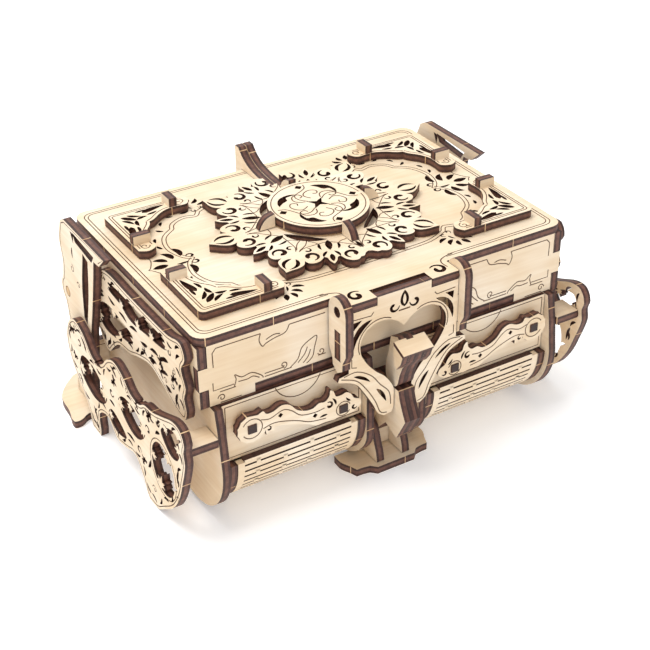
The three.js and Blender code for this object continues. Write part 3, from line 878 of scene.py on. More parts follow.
class CASKET_OT_fronts(PieceOperator, bpy.types.Operator):
    """Cuts the fixed front panels and the ornate bars on their pegs"""

    bl_idname = "casket.fronts"
    bl_label = "Fronts"

    def execute(self, context):
        w = line_width()
        near, _ = sits("right_front_panel", "front")
        low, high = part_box("right_front_panel")
        outer = rect(PANEL_INNER, low.z / MM, high.x / MM, high.z / MM)
        drawn = [("ply", outer)] + line(rings(outer, -1.6), w,
            True) + line(arc((39, 54.4), 9.5, 200, 340, 14), w)
        char = [bpy.data.materials["charred_cut_edge"]] * 3
        for side, way in (("left", -1), ("right", 1)):
            shapes, extra, outline = drawn, bar_shapes(w), bar_outline()
            if way < 0:
                shapes, extra, outline = other_side(drawn), other_side(extra), flipped(outline)
            node = f"{side}_front_panel"
            made = cut_sheet(f"ply_{node}", shapes, SHEET, placing("front", near), looks_for("front"))
            settle(made, "base", [node])
            for label, (x, z) in (("outer", OUTER_PEG), ("inner", INNER_PEG)):
                x *= way
                peg = [("ply", rect(x - PEG_HALF, z - PEG_HALF, x + PEG_HALF, z + PEG_HALF))]
                made = cut_sheet(f"peg_{side}_{label}", peg, PEG_LENGTH, placing("front", PEG_ROOT), char)
                settle(made, "base")
            ply_from(f"{side}_ornate_bar", "front", extra, outline, keep_holes=False)
        return {"FINISHED"}


def lace_base_shapes(w):
    """Windows, leaves and engraving of the base's lace plate, drawn from the front to the rear."""
    x0, z0 = 12, 23.2  # the oval window's centre
    round_ = np.linspace(0, 2 * math.pi, 36)[:-1]
    oval = [(x0 + 9.0 * math.cos(t), z0 + 10.8 * math.sin(t)) for t in round_]
    long_window = spline([(25.6, 30), (30, 24.6), (36, 22.8), (43, 25.0), (48.4, 30.6), (43, 35.4),
        (33, 35.4)], 5, True)
    rear_window = spline([(60, 25), (66, 18.4), (76, 17.2), (85, 22.6), (82, 31.4), (70, 32.0)], 5, True)
    top_window = spline([(-3.6, 41), (-1.0, 35.6), (5, 34.8), (11, 40.6), (5.4, 45.4), (-1.6, 46.6)], 5,
        True)
    low_window = spline([(44, 16.2), (54, 13.6), (59.6, 18.4), (56.0, 22.0), (49, 20.4)], 5, True)
    shapes = line([(x0 + (x - x0) * 1.14, z0 + (z - z0) * 1.12) for x, z in oval], w, True)
    shapes += [("cut", window) for window in (oval, long_window, rear_window, top_window, low_window)]
    fans = [
        ((15.8, 12.8), 105, 6.4), ((6.4, 33.0), -70, 5.2), ((20.9, 24.6), 170, 4.2),
        ((25.2, 30.6), -6, 6.2),
        ((48.6, 30.4), 180, 5.6), ((37.4, 36.0), -86, 4.4), ((59.6, 25.4), 0, 6.8),
        ((85.4, 24.6), 172, 6.0),
        ((74, 32.4), -96, 5.0), ((-4.0, 41), -4, 4.4), ((7.4, 45.2), -110, 3.8), ((59.4, 18.6), 178, 4.4),
    ]
    shapes += palmettes(fans, "keep")
    sprays = [((18.6, 39.6), 30, 5.6), ((53.4, 38.6), 205, 5.4), ((89.6, 36.4), 70, 5.0),
        ((88.4, 29.0), -60, 4.4), ((27.4, 14.6), 50, 4.8), ((29.4, 39.6), -10, 3.6)]
    shapes += palmettes(sprays, "cut", 70, 5, 0.3)
    slots = [
        ((12, 38.6), (16, 36.2), 1.5, 0.5), ((48, 40.6), (53, 43.4), 1.6, 0.6),
        ((62, 36.6), (69, 35.6), 1.7, 0.7),
        ((22.6, 20.4), (25.4, 15.6), 1.7, -0.5), ((36, 19.4), (43, 19.6), 1.6, 0.6),
        ((2.0, 12.6), (6.4, 8.6), 1.4, 0.5),
        ((-1.4, 31.6), (0.4, 25), 1.4, 0.4), ((73, 6), (75.6, 12.4), 1.5, 0.5),
        ((76.6, 36.4), (81, 40.6), 1.6, 0.6),
        ((52.6, 25.2), (57.4, 25.6), 1.5, 0.4),
    ]
    shapes += cut_leaves(slots)
    commas = [
        ((22.6, 33.6), 0, 300), ((54.4, 30.6), 180, 320), ((86.4, 41.4), 90, 330),
        ((83.6, 36.6), -60, -260),
        ((13.4, 42.4), 90, 300), ((32.4, 18.6), 180, -300),
    ]
    engraved = [
        ((21.4, 8.2), 0, 400), ((39.4, 40.6), 60, 400), ((64, 12.4), 0, -420), ((87.4, 19), 120, 420),
        ((0.6, 17.4), 0, 380),
    ]
    return shapes + cut_curls(commas, 2.0, 0.95) + spirals(engraved, 1.7, w)


def lace_lid_shapes(w):
    """Windows, leaves and engraving of the lid's lace plate."""
    slot = spline([(15, 69), (20, 66.4), (33, 64.8), (46, 63.2), (55, 65.8), (65, 66.8), (67.4, 69.4),
        (58, 70.8), (40, 71), (20, 71.4)], 4, True)
    lower = spline([(43, 55), (50, 52.2), (58, 50.6), (66, 46.8), (73, 46.8), (78, 50.4), (74, 57),
        (66, 59.4), (55, 58.6), (47, 57.6)], 4, True)
    shapes = [("cut", slot), ("cut", lower)]
    fans = [
        ((14.4, 69.4), 0, 5.0), ((28, 64.8), 66, 4.4), ((41, 63.4), 110, 4.2), ((53, 64.8), 60, 3.8),
        ((67.8, 68.8), 180, 5.0),
        ((42.6, 55), 6, 5.6), ((78.4, 50.6), 174, 5.8), ((62, 60), -84, 4.4), ((58, 50), 110, 3.8),
    ]
    shapes += palmettes(fans, "keep")
    sprays = [((11.6, 56), 75, 5.4), ((20, 59.4), 10, 5.4), ((72, 61), 60, 4.6)]
    shapes += palmettes(sprays, "cut", 70, 5, 0.3)
    slots = [
        ((10, 53.6), (12, 47.6), 1.7, 0.6),
        ((16, 63), (22, 60.6), 1.9, 0.7), ((24, 61), (31, 60), 1.7, 0.7), ((33, 60.2), (39, 59), 1.7, -0.5),
        ((17, 57), (24, 54.6), 1.8, 0.8), ((26, 56.6), (33, 55.4), 1.7, 0.6),
        ((70, 61.4), (76, 59), 1.6, 0.6),
        ((71, 66.6), (75, 63.2), 1.6, -0.5), ((78.6, 58), (82, 52.6), 1.6, 0.6),
        ((68, 43), (71.6, 39), 1.5, 0.5),
        ((73.6, 40.6), (77, 44.6), 1.6, 0.5), ((80, 46.6), (83.6, 49.4), 1.4, 0.4),
        ((15, 51), (20, 51.6), 1.4, 0.4),
        ((41, 61.4), (48, 60), 1.5, 0.6), ((50, 60.4), (57, 61.6), 1.5, 0.6),
        ((60, 62.6), (66, 63.8), 1.5, -0.5),
        ((36, 55.6), (40, 52.6), 1.5, 0.5),
    ]
    shapes += cut_leaves(slots)
    commas = [
        ((14.6, 68), 120, 320), ((13.6, 55), 0, -300), ((29, 57.8), 200, 300), ((36.4, 57.2), 20, -300),
        ((80, 55), 0, 320), ((73.4, 62.6), 90, 300), ((64.6, 44), 180, 300), ((22, 58), 90, 300),
    ]
    engraved = [
        ((12, 61.6), 90, 420), ((19.4, 53.8), 0, 400), ((69.6, 70), 60, 420), ((76.6, 64.6), 0, -400),
        ((76, 48), 0, 380),
    ]
    return shapes + cut_curls(commas, 1.5, 0.8) + spirals(engraved, 1.3, w)


class CASKET_OT_side_lace(PieceOperator, bpy.types.Operator):
    """Cuts the lace plates of the base and the lid"""

    bl_idname = "casket.side_lace"
    bl_label = "Side lace"

    def execute(self, context):
        w = line_width()
        for side in ("left", "right"):
            for node, extra in ((f"{side}_base_lace", lace_base_shapes(w)),
                (f"{side}_lid_lace", lace_lid_shapes(w))):
                outer = refine(loops_of(node, side)[0])
                leaves = garland(outer, 3.2, 6.6, 4.4, 1.2)
                shapes = line(rings(outer, -1.1), w, True) + [("cut", p) for p in leaves] + extra
                ply_from(node, side, shapes, outer, keep_holes=False)
        return {"FINISHED"}


class CASKET_OT_rear_posts(PieceOperator, bpy.types.Operator):
    """Cuts the tall rear posts and their feet, and gives the hinge pins a birch-stick finish"""

    bl_idname = "casket.rear_posts"
    bl_label = "Rear posts"

    def execute(self, context):
        w = line_width()
        for side in ("left", "right"):
            node = f"{side}_rear_post"
            outer = refine(loops_of(node, side)[0])
            extra = line(rings(outer, -1.2), w, True)
            extra += [("cut", [(85.5, 80.6), (88.6, 81), (86.4, 76.4)]),
                ("cut", leaf((88.6, 74), (89, 69), 1.2, 0.4))]
            extra += spiral_line((91, 64), 1.8, 90, 400, w) + spiral_line((92, 20), 1.8, 0, 400, w)
            extra += spiral_line((92.5, 31), 1.8, 180, -400, w) + spiral_line((86, 59), 1.5, 0, 380, w)
            extra += line(spline([(96, 8), (94, 18), (95.6, 28), (93, 40)]), w)
            extra += [("cut", leaf((89, 12), (88, 24), 2.0, 0.8)),
                ("cut", leaf((87.6, 28), (86.6, 38), 1.6, -0.6))]
            ply_from(node, side, extra, outer)
            ply_from(f"{side}_rear_foot", "top")
            pin = frame["nodes"][f"{side}_hinge_pin"].data
            pin.materials.clear()
            pin.materials.append(bpy.data.materials["birch_stick"])
        return {"FINISHED"}


class CASKET_OT_drawers(PieceOperator, bpy.types.Operator):
    """Builds the drawers: ends, rear boards and kerf-bent bellies of slats"""

    bl_idname = "casket.drawers"
    bl_label = "Drawers"

    def execute(self, context):
        s = context.scene.casket_sizes
        tree = slat_tree()
        char, birch = bpy.data.materials["charred_cut_edge"], bpy.data.materials["birch_veneer_across"]
        thick = margin = BELLY_PLY  # an uncut strip is left at each end of the bend
        y0, z0 = BELLY_CENTRE
        radius = BELLY_RADIUS - thick / 2
        for side in ("left", "right"):
            for end in ("outer_end", "inner_end"):
                ply_from(f"{side}_drawer_{end}", side)
            ply_from(f"{side}_drawer_rear_board", "front")
            low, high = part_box(f"{side}_drawer_belly")
            left, right, back = low.x / MM, high.x / MM, high.y / MM - FRONT
            edge = high.z / MM - z0
            top = math.degrees(math.asin((edge - 0.1) / radius))
            run = arc(BELLY_CENTRE, radius, 180 - top, 270, 40)
            run += [(y0 + i * 2.1, z0 - radius) for i in (1, 2)]
            path = [((low.x + high.x) / 2, (y + FRONT) * MM, z * MM) for y, z in run]
            guide = wire(f"{side}_belly_guide", [(path, False)])
            values = {
                "Length": high.x - low.x - 2 * margin * MM, "Thickness": thick * MM, "Slit": s.slit,
                "Pitch": s.slat_pitch, "Bridge": 0.0016, "Bridges": 2, "Face": birch, "Edge": char,
            }
            slats = grown(guide, tree, values, f"{side}_belly_slats")
            bpy.data.objects.remove(guide)
            settle(slats, f"{side}_drawer")
            faces = [
                arc(BELLY_CENTRE, r, 180 - math.degrees(math.asin(edge / r)), 270, 30)
                for r in (BELLY_RADIUS, BELLY_RADIUS - thick)
            ]
            under = z0 - BELLY_RADIUS
            profile = faces[0] + [(back, under), (back, under + thick)] + faces[1][::-1]
            for label, x, stands_for in (("outer", left, ()),
                ("inner", right - margin, [f"{side}_drawer_belly"])):
                name = f"{side}_belly_margin_{label}"
                made = cut_sheet(name, [("ply", profile)], margin, placing("right", x),
                    [char, birch, birch])
                settle(made, f"{side}_drawer", stands_for)
            bed = [("ply", rect(left + margin, y0 + 2.6, right - margin, back))]
            floor = cut_sheet(f"{side}_drawer_floor", bed, thick, placing("top", under), looks_for("top"))
            settle(floor, f"{side}_drawer")
        return {"FINISHED"}


def cartouche():
    """The lobed closed line engraved on the lid."""
    a, b, c, d = (-51.2, MIDDLE), (-48.3, MIDDLE + 22.9), (-34, MIDDLE + 30.4), (0, MIDDLE + 34.5)
    quarter = spline([a, (-54.3, MIDDLE + 4), (-55.8, MIDDLE + 11), (-53.6, MIDDLE + 18.4), b], 5)
    quarter += spline([b, (-46.4, MIDDLE + 26.4), (-41.5, MIDDLE + 28.6), (-36.6, MIDDLE + 27.6), c], 5)[1:]
    quarter += spline([c, (-26, MIDDLE + 33.6), (-14, MIDDLE + 34.3), d], 5)[1:]
    upper = quarter + flipped(quarter)[1:]
    lower = upended(upper, MIDDLE)
    return upper + lower[1:-1]


def spray(at, degrees, size):
    """A palmette of pierced leaves pointing along +x before it is turned."""
    leaves = [
        leaf((0, 0), (5.0, 0), 2.4), leaf((-0.6, 1.8), (3.2, 4.2), 2.0, 0.7),
        leaf((-0.6, -1.8), (3.2, -4.2), 2.0, -0.7),
        leaf((-2.6, 2.4), (-0.6, 7.0), 2.1, 0.9), leaf((-2.6, -2.4), (-0.6, -7.0), 2.1, -0.9),
        leaf((-5.4, 3.0), (-5.0, 8.4), 1.9, 0.8), leaf((-5.4, -3.0), (-5.0, -8.4), 1.9, -0.8),
        leaf((-6.2, 0.9), (-2.2, 0.9), 1.0, 0.3), curl((-8.0, 1.8), 1.4, 0, 280, 0.8),
        curl((-8.0, -1.8), 1.4, 0, -280, 0.8),
    ]
    return [moved(turned([(x * size, y * size) for x, y in shape], degrees), at) for shape in leaves]


def lid_shapes(w):
    """Engraving and piercing of the lid's plate."""
    half, depth = LID_HALF, LID_DEPTH
    shapes = []
    for gap in (2.5, 3.7):
        r = 4.6 - gap * 0.4
        x, rear = half - gap, depth - gap
        run = [(-22.0 - gap, gap)] + arc((r - x, gap + r), r, 270, 180, 6)
        run += arc((r - x, rear - r), r, 180, 90, 6)
        run += flipped(run)
        shapes += line(run, w)
    for side in (1, -1):
        curls = spline([(-27.5, 3.2), (-24.5, 3.0), (-21.6, 1.8), (-20.4, -0.4), (-20.6, -3.6)], 5)
        path = curls if side > 0 else flipped(curls)
        shapes += [("mark", band(path, 0.5))]
        eye = curl((17.0, -3.2), 3.1, 140, -380, 1.7, 0.22)
        shapes += [("cut", eye if side > 0 else flipped(eye))]
    path = cartouche()
    shapes += line(path, w, True)
    shapes += line(rings(path, 1.5), w, True)
    for side in (1, -1):
        pierced = spray((-61.5, MIDDLE), 180, 1.2)
        pierced += spray((-36.5, 89.0), 112, 0.85) + spray((-36.5, 2 * MIDDLE - 89.0), -112, 0.85)
        chain = [(-58.6, 36.6, 70), (-57.8, 31.2, 110), (-53.4, 25.0, 40), (-50.6, 20.6, 120),
            (-45.8, 16.6, 20)]
        for x, y, turn in chain:
            for up in (1, -1):
                bit = moved(turned(leaf((-1.5, 0), (1.7, 0), 1.3, 0.4), turn), (x, y))
                pierced.append(bit if up > 0 else upended(bit, MIDDLE))
        edge = spline([(-66.4, MIDDLE + 9.4), (-65.6, MIDDLE + 6), (-67.8, MIDDLE + 1.2), (-69, MIDDLE),
            (-67.8, MIDDLE - 1.2), (-65.6, MIDDLE - 6), (-66.4, MIDDLE - 9.4)], 4)
        shapes += line(edge if side > 0 else flipped(edge), w)
        shapes += [("cut", p if side > 0 else flipped(p)) for p in pierced]
    return shapes


def skirt_shapes(w):
    """Engraving of the lid's front board: a ruled border broken by leaves and curls."""
    top, low = SEAM + 22.2, SEAM + 5.9
    runs = [
        [(-69.9, SEAM + 15), (-70.0, top - 1.6), (-68.6, top), (-52, top)],
        [(-41, top), (-27, top)],
        spline([(-52, top), (-52.6, top - 2.6), (-51.4, top - 5.2), (-50, top - 4.4), (-46.6, top - 3.4),
            (-42.6, top - 2.6), (-41, top)], 4),
        spline([(-50, top - 3), (-47, top - 2), (-44.6, top - 2.4)], 4),
        [(-70.4, SEAM + 9), (-70.4, low), (-62.6, low)],
        [(-62, low - 1.2), (-68, low - 1.2)],
        spline([(-62.6, low - 1), (-61.8, low + 1.6), (-62.2, low + 3.6), (-59.6, low + 1.8),
            (-55.8, low + 2.2), (-52.2, low - 0.2), (-51.6, low - 1.4)], 4),
        spline([(-61, low + 0.4), (-57.6, low + 0.2), (-55.4, low + 0.6), (-53, low - 0.8)], 4),
        [(-51, low), (-43.4, low)],
        [(-51, low - 1.2), (-40.6, low - 1.2)],
        spline([(-41, low - 1), (-38, low + 1.4), (-36.4, low + 5.4), (-33, low + 7.6), (-30.4, low + 8.2),
            (-31.4, low + 4), (-32.2, low + 0.4), (-34.6, low - 1.6)], 4),
        spline([(-38, low - 0.2), (-35.4, low + 2.4), (-34.2, low + 5)], 4),
        spline([(-36, low - 1), (-34, low + 1), (-33, low + 3.6)], 4),
        [(-30, low), (-27, low)],
        [(-68, SEAM + 0.4), (-60, SEAM + 0.4)],
    ]
    shapes = []
    for run in runs:
        shapes += line(run, w) + line(flipped(run), w)
    for centre, start, sweep in (((-67.4, SEAM + 2.2), 180, -420), ((-43.6, low + 0.9), 270, 400),
        ((-28.8, low + 1.4), 200, 400)):
        path = spiral_line(centre, 1.5, start, sweep, w)
        shapes += path + other_side(path)
    return shapes


class CASKET_OT_lid(PieceOperator, bpy.types.Operator):
    """Cuts the lid's plate, its front board and its walls"""

    bl_idname = "casket.lid"
    bl_label = "Lid"

    def execute(self, context):
        w = line_width()
        ply_from("lid_plate", "top", lid_shapes(w))
        ply_from("lid_skirt", "front", skirt_shapes(w))
        ply_from("lid_rear_wall", "front")
        for side in ("left", "right"):
            ply_from(f"{side}_lid_wall", side)
        return {"FINISHED"}


class CASKET_OT_corners(PieceOperator, bpy.types.Operator):
    """Cuts the four pierced corner ornaments with their standing tabs"""

    bl_idname = "casket.corners"
    bl_label = "Corner ornaments"

    def execute(self, context):
        w = line_width()
        spread = (68.9, 40.2)
        for name, sx, sy in (("front_left", -1, -1), ("front_right", 1, -1), ("rear_left", -1, 1),
            ("rear_right", 1, 1)):
            node = f"corner_ornament_{name}"
            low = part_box(node)[0].z / MM

            def out(points):
                return [(sx * (spread[0] - u), MIDDLE + sy * (spread[1] - v)) for u, v in points]

            half = spline([(31.5, 0.3), (33.1, 3.6), (31.1, 7.2), (27, 7.2)], 4)
            half += spline([(27, 7.2), (23, 7.4), (19, 9.2), (15.4, 12.0), (13.0, 13.0)], 5)[1:]
            inner = half + [(v, u) for u, v in reversed(half)][1:]
            corner = arc((2.2, 2.2), 2.2, 180, 270, 6)
            outline = corner + inner
            shapes = [("ply", out(outline))]
            rule = [(30, 1.5)] + arc((2.8, 2.8), 1.3, 270, 180, 4) + [(1.5, 30)]
            shapes += [("mark", out(band(rule, w)))]
            rule = [(29.4, 2.5)] + arc((3.4, 3.4), 0.9, 270, 180, 4) + [(2.5, 29.4)]
            shapes += [("mark", out(band(rule, w)))]
            cuts = [
                leaf((13.4, 5.4), (23.4, 3.6), 2.7, -0.3, 0.3), leaf((5.0, 5.0), (9.6, 9.4), 2.2),
                leaf((7.6, 4.4), (12.2, 7.4), 1.6, 0.5),
                leaf((9.8, 9.4), (14.2, 8.6), 1.6, -0.5), leaf((14.4, 7.6), (19, 6.6), 1.3, 0.3),
                leaf((11.2, 3.8), (15.6, 3.4), 1.2, 0.2),
            ]
            for cut in cuts:
                shapes += [("cut", out(cut)), ("cut", out([(v, u) for u, v in cut]))]
            edge = [(u - 0.95 * (1 if u > v else 0), v - 0.9) for u, v in half if u < 31]
            shapes += [("mark", out(band(edge, w))), ("mark", out([(v, u) for u, v in band(edge, w)]))]
            for eye in ((29.3, 3.7), (3.7, 29.3)):
                wind = -420 if eye[0] > eye[1] else 420
                shapes += [("mark", out(p)) for _,
                    p in spiral_line(eye, 1.9, 90 if wind < 0 else 0, wind, w)]
            made = cut_sheet(f"ply_{node}", shapes, SHEET, placing("top", low), looks_for("top"))
            settle(made, "lid", [node])
            EDGES.append((node, "top", out(outline), low, SHEET))
            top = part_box(node)[1].z / MM
            tab_u, reach = (23.9, 23.9 + SHEET), (0.4, 7.0)
            for label, plane, us, vs in (("a", "right", tab_u, reach), ("b", "front", reach, tab_u)):
                x0, x1 = sorted(sx * (spread[0] - u) for u in us)
                y0, y1 = sorted(MIDDLE + sy * (spread[1] - v) for v in vs)
                across, near = ((y0, y1), x0) if label == "a" else ((x0, x1), -y1)
                face = [("ply", rect(across[0], low + 1, across[1], top))]
                tab = cut_sheet(f"tab_{label}_{name}", face, SHEET, placing(plane, near), looks_for(plane))
                settle(tab, "lid")
        return {"FINISHED"}


def polar(points):
    """Points given as (degrees, radius)."""
    return [(r * math.cos(math.radians(a)), r * math.sin(math.radians(a))) for a, r in points]


def rosette_shapes(w):
    """The rosette: eight petals about the lid's centre, leaf tips and slots between them."""
    outline, cuts, marks = [], [], []
    scroll = [(6.6, 36.4), (9.2, 37.8), (12.4, 37.6), (15.4, 36.0), (17.4, 33.4)]
    bud = [(17.4, 33.4), (19.4, 34.0), (20.3, 35.9), (21.3, 37.2), (22.5, 38.4)]
    for k in range(8):
        long_petal = k % 4 != 2
        petal = [(0, 45.3), (1.8, 43.6), (4.4, 41.8), (6.8, 39.2), (6.6, 36.4)]
        if not long_petal:
            petal = [(0, 34.0), (2.2, 34.6), (4.4, 36.2), (6.6, 36.4)]
        half = spline(polar(petal), 5) + spline(polar(scroll), 4)[1:] + spline(polar(bud), 4)[1:]
        outline += turned([(x, -y) for x, y in reversed(half)] + half[1:-1], 45 * k)
        holes = [leaf((25.6, 0), (31.0, 0), 1.5)] if not long_petal else []
        for side in (1, -1):
            holes.append([(x, side * y) for x, y in curl((32.6, 5.6), 2.9, 40, 300, 1.7, 0.35)])
            holes.append([(x, side * y) for x, y in curl((28.6, 3.2), 1.5, 200, -250, 0.9, 0.35)])
            if long_petal:
                holes.append([(x, side * y) for x, y in leaf((35.6, 0.7), (43.2, 0.5), 1.5, 1.9, 0.4)])
            fan = [(30.4, 0.6), (27.6, 1.6), (24.4, 4.6), (21.4, 7.8)]
            sweep = [(29.4, 0.5), (25.6, 1.5), (22.0, 1.2)]
            arch = [(24.0, 6.6), (22.6, 4.2), (22.4, 1.8)]
            for path in (fan, sweep, arch):
                marks.append(turned([(x, side * y) for x, y in band(spline(path, 4), w)], 45 * k))
        cuts += [turned(h, 45 * k) for h in holes]
        between = [leaf((21.4, 0), (28.6, 0), 2.6), leaf((31.4, 0), (36.8, 0), 1.9)]
        for side in (1, -1):
            between.append([(x, side * y) for x, y in leaf((29.4, 1.2), (33.4, 3.0), 1.2, 0.4)])
            between.append([(x, side * y) for x, y in leaf((23.6, 3.4), (28.0, 3.0), 1.1, 0.4)])
        cuts += [turned(h, 45 * k + 22.5) for h in between]
    for k in range(4):
        cuts.append(turned(leaf((18.9, -8.2), (18.9, 8.2), 3.8, -1.6), 45 + 90 * k))
    return [[moved(q, (0, MIDDLE)) for q in group] for group in ([outline] + cuts, marks)]


def medallion_shapes(w):
    """The medallion: a four-point star, crescents, diamonds and swirling engraved scrolls."""
    shapes = [("cut", polar([(45 * i + 45, (4.6, 1.5)[i % 2]) for i in range(8)]))]
    for k in range(4):
        moon = spline([(9.6, -4.6), (12.6, -3.4), (14.9, 0.4), (14.4, 4.4), (12.9, 6.6)], 4)
        moon += spline([(12.9, 6.6), (12.6, 3.8), (11.6, 1.0), (12.6, -1.2), (9.6, -4.6)], 4)[1:-1]
        shapes.append(("cut", turned(moon, 45 + 90 * k)))
        shapes.append(("cut", turned([(13.2, 0), (14.8, -1.6), (16.4, 0), (14.8, 1.6)], 90 * k)))
        for way, bow in ((0, 1.0), (45, 0.8)):
            swirl = [(4.8, 0.4), (7.4, 1.8 * bow), (9.6, 0.6 * bow), (10.6, -2.2), (9.2, -4.4),
                (7.2, -3.6), (7.6, -2.0)]
            shapes.append(("mark", turned(band(spline(swirl, 5), w * 1.2), 90 * k + way)))
        swirl = [(3.4, 2.2), (6.6, 4.0), (10.0, 3.2), (12.4, -3.0), (15.2, -4.6)]
        shapes.append(("mark", turned(band(spline(swirl, 5), w * 1.1), 90 * k + 8)))
    shapes += line(arc((0, 0), 17.5, 0, 355, 70), w)
    return [(kind, moved(p, (0, MIDDLE))) for kind, p in shapes]


class CASKET_OT_rosette(PieceOperator, bpy.types.Operator):
    """Cuts the rosette, the raised medallion and its fins"""

    bl_idname = "casket.rosette"
    bl_label = "Rosette"

    def execute(self, context):
        w = line_width()
        (outline, *cuts), marks = rosette_shapes(w)
        near, thick = sits("rosette", "top")
        slot = [("cut", rect(-3.6, 79, 3.6, 99))]  # lets the handle's plies through
        shapes = [("ply", outline)] + [("mark", m) for m in marks] + [("cut", c) for c in cuts] + slot
        made = cut_sheet("ply_rosette", shapes, thick, placing("top", near), looks_for("top"))
        settle(made, "lid", ["rosette"])
        ply_from("medallion", "top", medallion_shapes(w), keep_holes=False)
        for node in [n for n in frame["nodes"] if n.startswith("medallion_fin")]:
            low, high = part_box(node)
            across_x = high.x - low.x < high.y - low.y
            ply_from(node, "right" if across_x else "front")
        return {"FINISHED"}


class CASKET_OT_handle(PieceOperator, bpy.types.Operator):
    """Cuts the two plies of the rear handle"""

    bl_idname = "casket.handle"
    bl_label = "Handle"

    def execute(self, context):
        for side in ("left", "right"):
            ply_from(f"{side}_handle_ply", side)
        return {"FINISHED"}


def heart_shapes(w):
    """Holes and engraving of the lock plate."""
    notch = COLUMN_HALF + 0.4  # half width of the slot that the lock column passes through
    half = [
        ("cut", leaf((-13.2, 70.6), (-20.7, 60.4), 2.3, -2.3)),
        ("cut", [(-20.9, 71.4), (-17.2, 71.6), (-20.6, 68.4)]),
        ("cut", leaf((-20.6, 49.6), (-13.8, 45.2), 1.3, 0.5)),
        ("cut", leaf((-11.2, 41.2), (-7.0, 34.4), 1.5, 0.5)),
        ("cut", curl((-4.3, 72.6), 2.2, 0, -280, 1.2)),
        ("mark", band([(-2.4, 70.6), (2.4, 70.6)], 0.6)),
        ("mark", band(spline([(-25.6, 50.2), (-19.6, 47.6), (-15.4, 42.6), (-11.6, 36.0), (-9.4, 30.6),
            (-6.6, 29.4)], 5), w)),
        ("mark", band(spline([(-24.6, 50.8), (-19.2, 51.2), (-13.4, 47.6), (-9.6, 42.6), (-5.8, 38.0),
            (-5.0, 32.4)], 5), w)),
        ("mark", band([(-21.4, 57), (-21.4, 53.6), (-19.4, 53)], w)),
        ("mark", band([(-12.6, 73.4), (-13.6, 72.2), (-21.4, 72.6)], w)),
    ]
    shapes = [
        ("cut", leaf((0, 71.6), (0, 78.2), 3.6, 0, 0.42)),
        ("cut", rect(-notch, 30.6, notch, 38.6)),
        ("keep", leaf((0, 72.6), (0, 76.8), 1.3, 0, 0.42)),
    ]
    for kind, p in half:
        shapes += [(kind, p), (kind, flipped(p))]
    lobe = arc((-9.8, 61), 8.9, 200, 60, 14)
    return shapes + [("mark", band(lobe, w)), ("mark", band(flipped(lobe), w))]


class CASKET_OT_lock_plate(PieceOperator, bpy.types.Operator):
    """Cuts the heart-shaped lock plate and its brackets"""

    bl_idname = "casket.lock_plate"
    bl_label = "Lock plate"

    def execute(self, context):
        w = line_width()
        ply_from("heart_plate", "front", heart_shapes(w))
        for side in ("left", "right"):
            ply_from(f"{side}_lock_bracket", side)
        return {"FINISHED"}


class CASKET_OT_latch(PieceOperator, bpy.types.Operator):
    """Builds the latch: laminated claw, wide head and pale cap"""

    bl_idname = "casket.latch"
    bl_label = "Latch"

    def execute(self, context):
        pivot = (-5.6, 42.8)
        foot = arc(pivot, 4.0, 200, 350, 12)
        core = foot + [(-1.6, 46), (-3.2, 52), (-4.6, 59), (-8.6, 60.6), (-16.2, 57), (-15, 53.6)]
        core += [(-12, 49.5), (-10.4, 45.5)]
        placed = placing("right", -COLUMN_HALF)
        made = cut_sheet("latch_core", [("ply", core)], 2 * COLUMN_HALF, placed, looks_for("right"))
        settle(made, "latch", ["latch_claw"])
        cheek = [(-10.5, 59.4), (-16.2, 57), (-15, 53.6), (-12.6, 50.4), (-11, 51.5)]
        start = COLUMN_HALF + 0.01  # a hair off the core, so no two faces coincide
        for label, x in (("left", -HEAD_HALF), ("right", start)):
            placed = placing("right", x)
            made = cut_sheet(f"latch_cheek_{label}", [("ply", cheek)], HEAD_HALF - start, placed,
                looks_for("right"))
            settle(made, "latch")
        a, b = Vector((0, -10.4, 59.9)), Vector((0, -16.57, 57.2))
        slope = (a - b).normalized()
        out = Vector((0, -slope.z, slope.y))
        m = Matrix.Identity(4)
        m[0][0] = MM
        for row in (1, 2):
            m[row][1], m[row][2] = slope[row] * MM, out[row] * MM
        m[1][3], m[2][3] = (b.y + FRONT) * MM, b.z * MM
        long = (a - b).length
        cap = [(-HEAD_HALF, 0), (HEAD_HALF, 0), (HEAD_HALF, long), (1.4, long), (1.4, long - 0.8)]
        cap += [(-1.4, long - 0.8), (-1.4, long), (-HEAD_HALF, long)]
        made = cut_sheet("latch_cap_ply", [("ply", cap)], 1.05, m, looks_for("top"))
        settle(made, "latch", ["latch_cap"])
        return {"FINISHED"}


class CASKET_OT_bridge_stubs(PieceOperator, bpy.types.Operator):
    """Scatters the pale stubs of the cut bridges along the charred edges"""

    bl_idname = "casket.bridge_stubs"
    bl_label = "Bridge stubs"

    def execute(self, context):
        tree = stub_tree()
        spacing = context.scene.casket_sizes.stub_spacing
        groups = {}
        for node, plane, outer, near, thick in EDGES:
            if node.startswith("medallion_fin"):
                continue  # too short to have been held by a bridge
            axis, sign, _, _ = PLANES[plane]
            out = tuple(float(sign) if i == axis else 0.0 for i in range(3))
            place_ = placing(plane, near + thick / 2)
            loop = [tuple(place_ @ Vector((u, v, 0))) for u, v in outer]
            groups.setdefault((BODY_OF[node], axis, round(thick, 1)), [out, []])[1].append((loop, True))
        for (body, axis, thick), (out, runs) in sorted(groups.items()):
            guide = wire("stub_guide", runs)
            values = {
                "Spacing": spacing, "Thickness": thick * MM, "Width": 0.00035, "Out": out,
                "Material": bpy.data.materials["uncharred_bridge_stub"],
            }
            made = grown(guide, tree, values, f"stubs_{body}_{'xyz'[axis]}_{int(thick * 10)}")
            bpy.data.objects.remove(guide)
            settle(made, body)
        return {"FINISHED"}


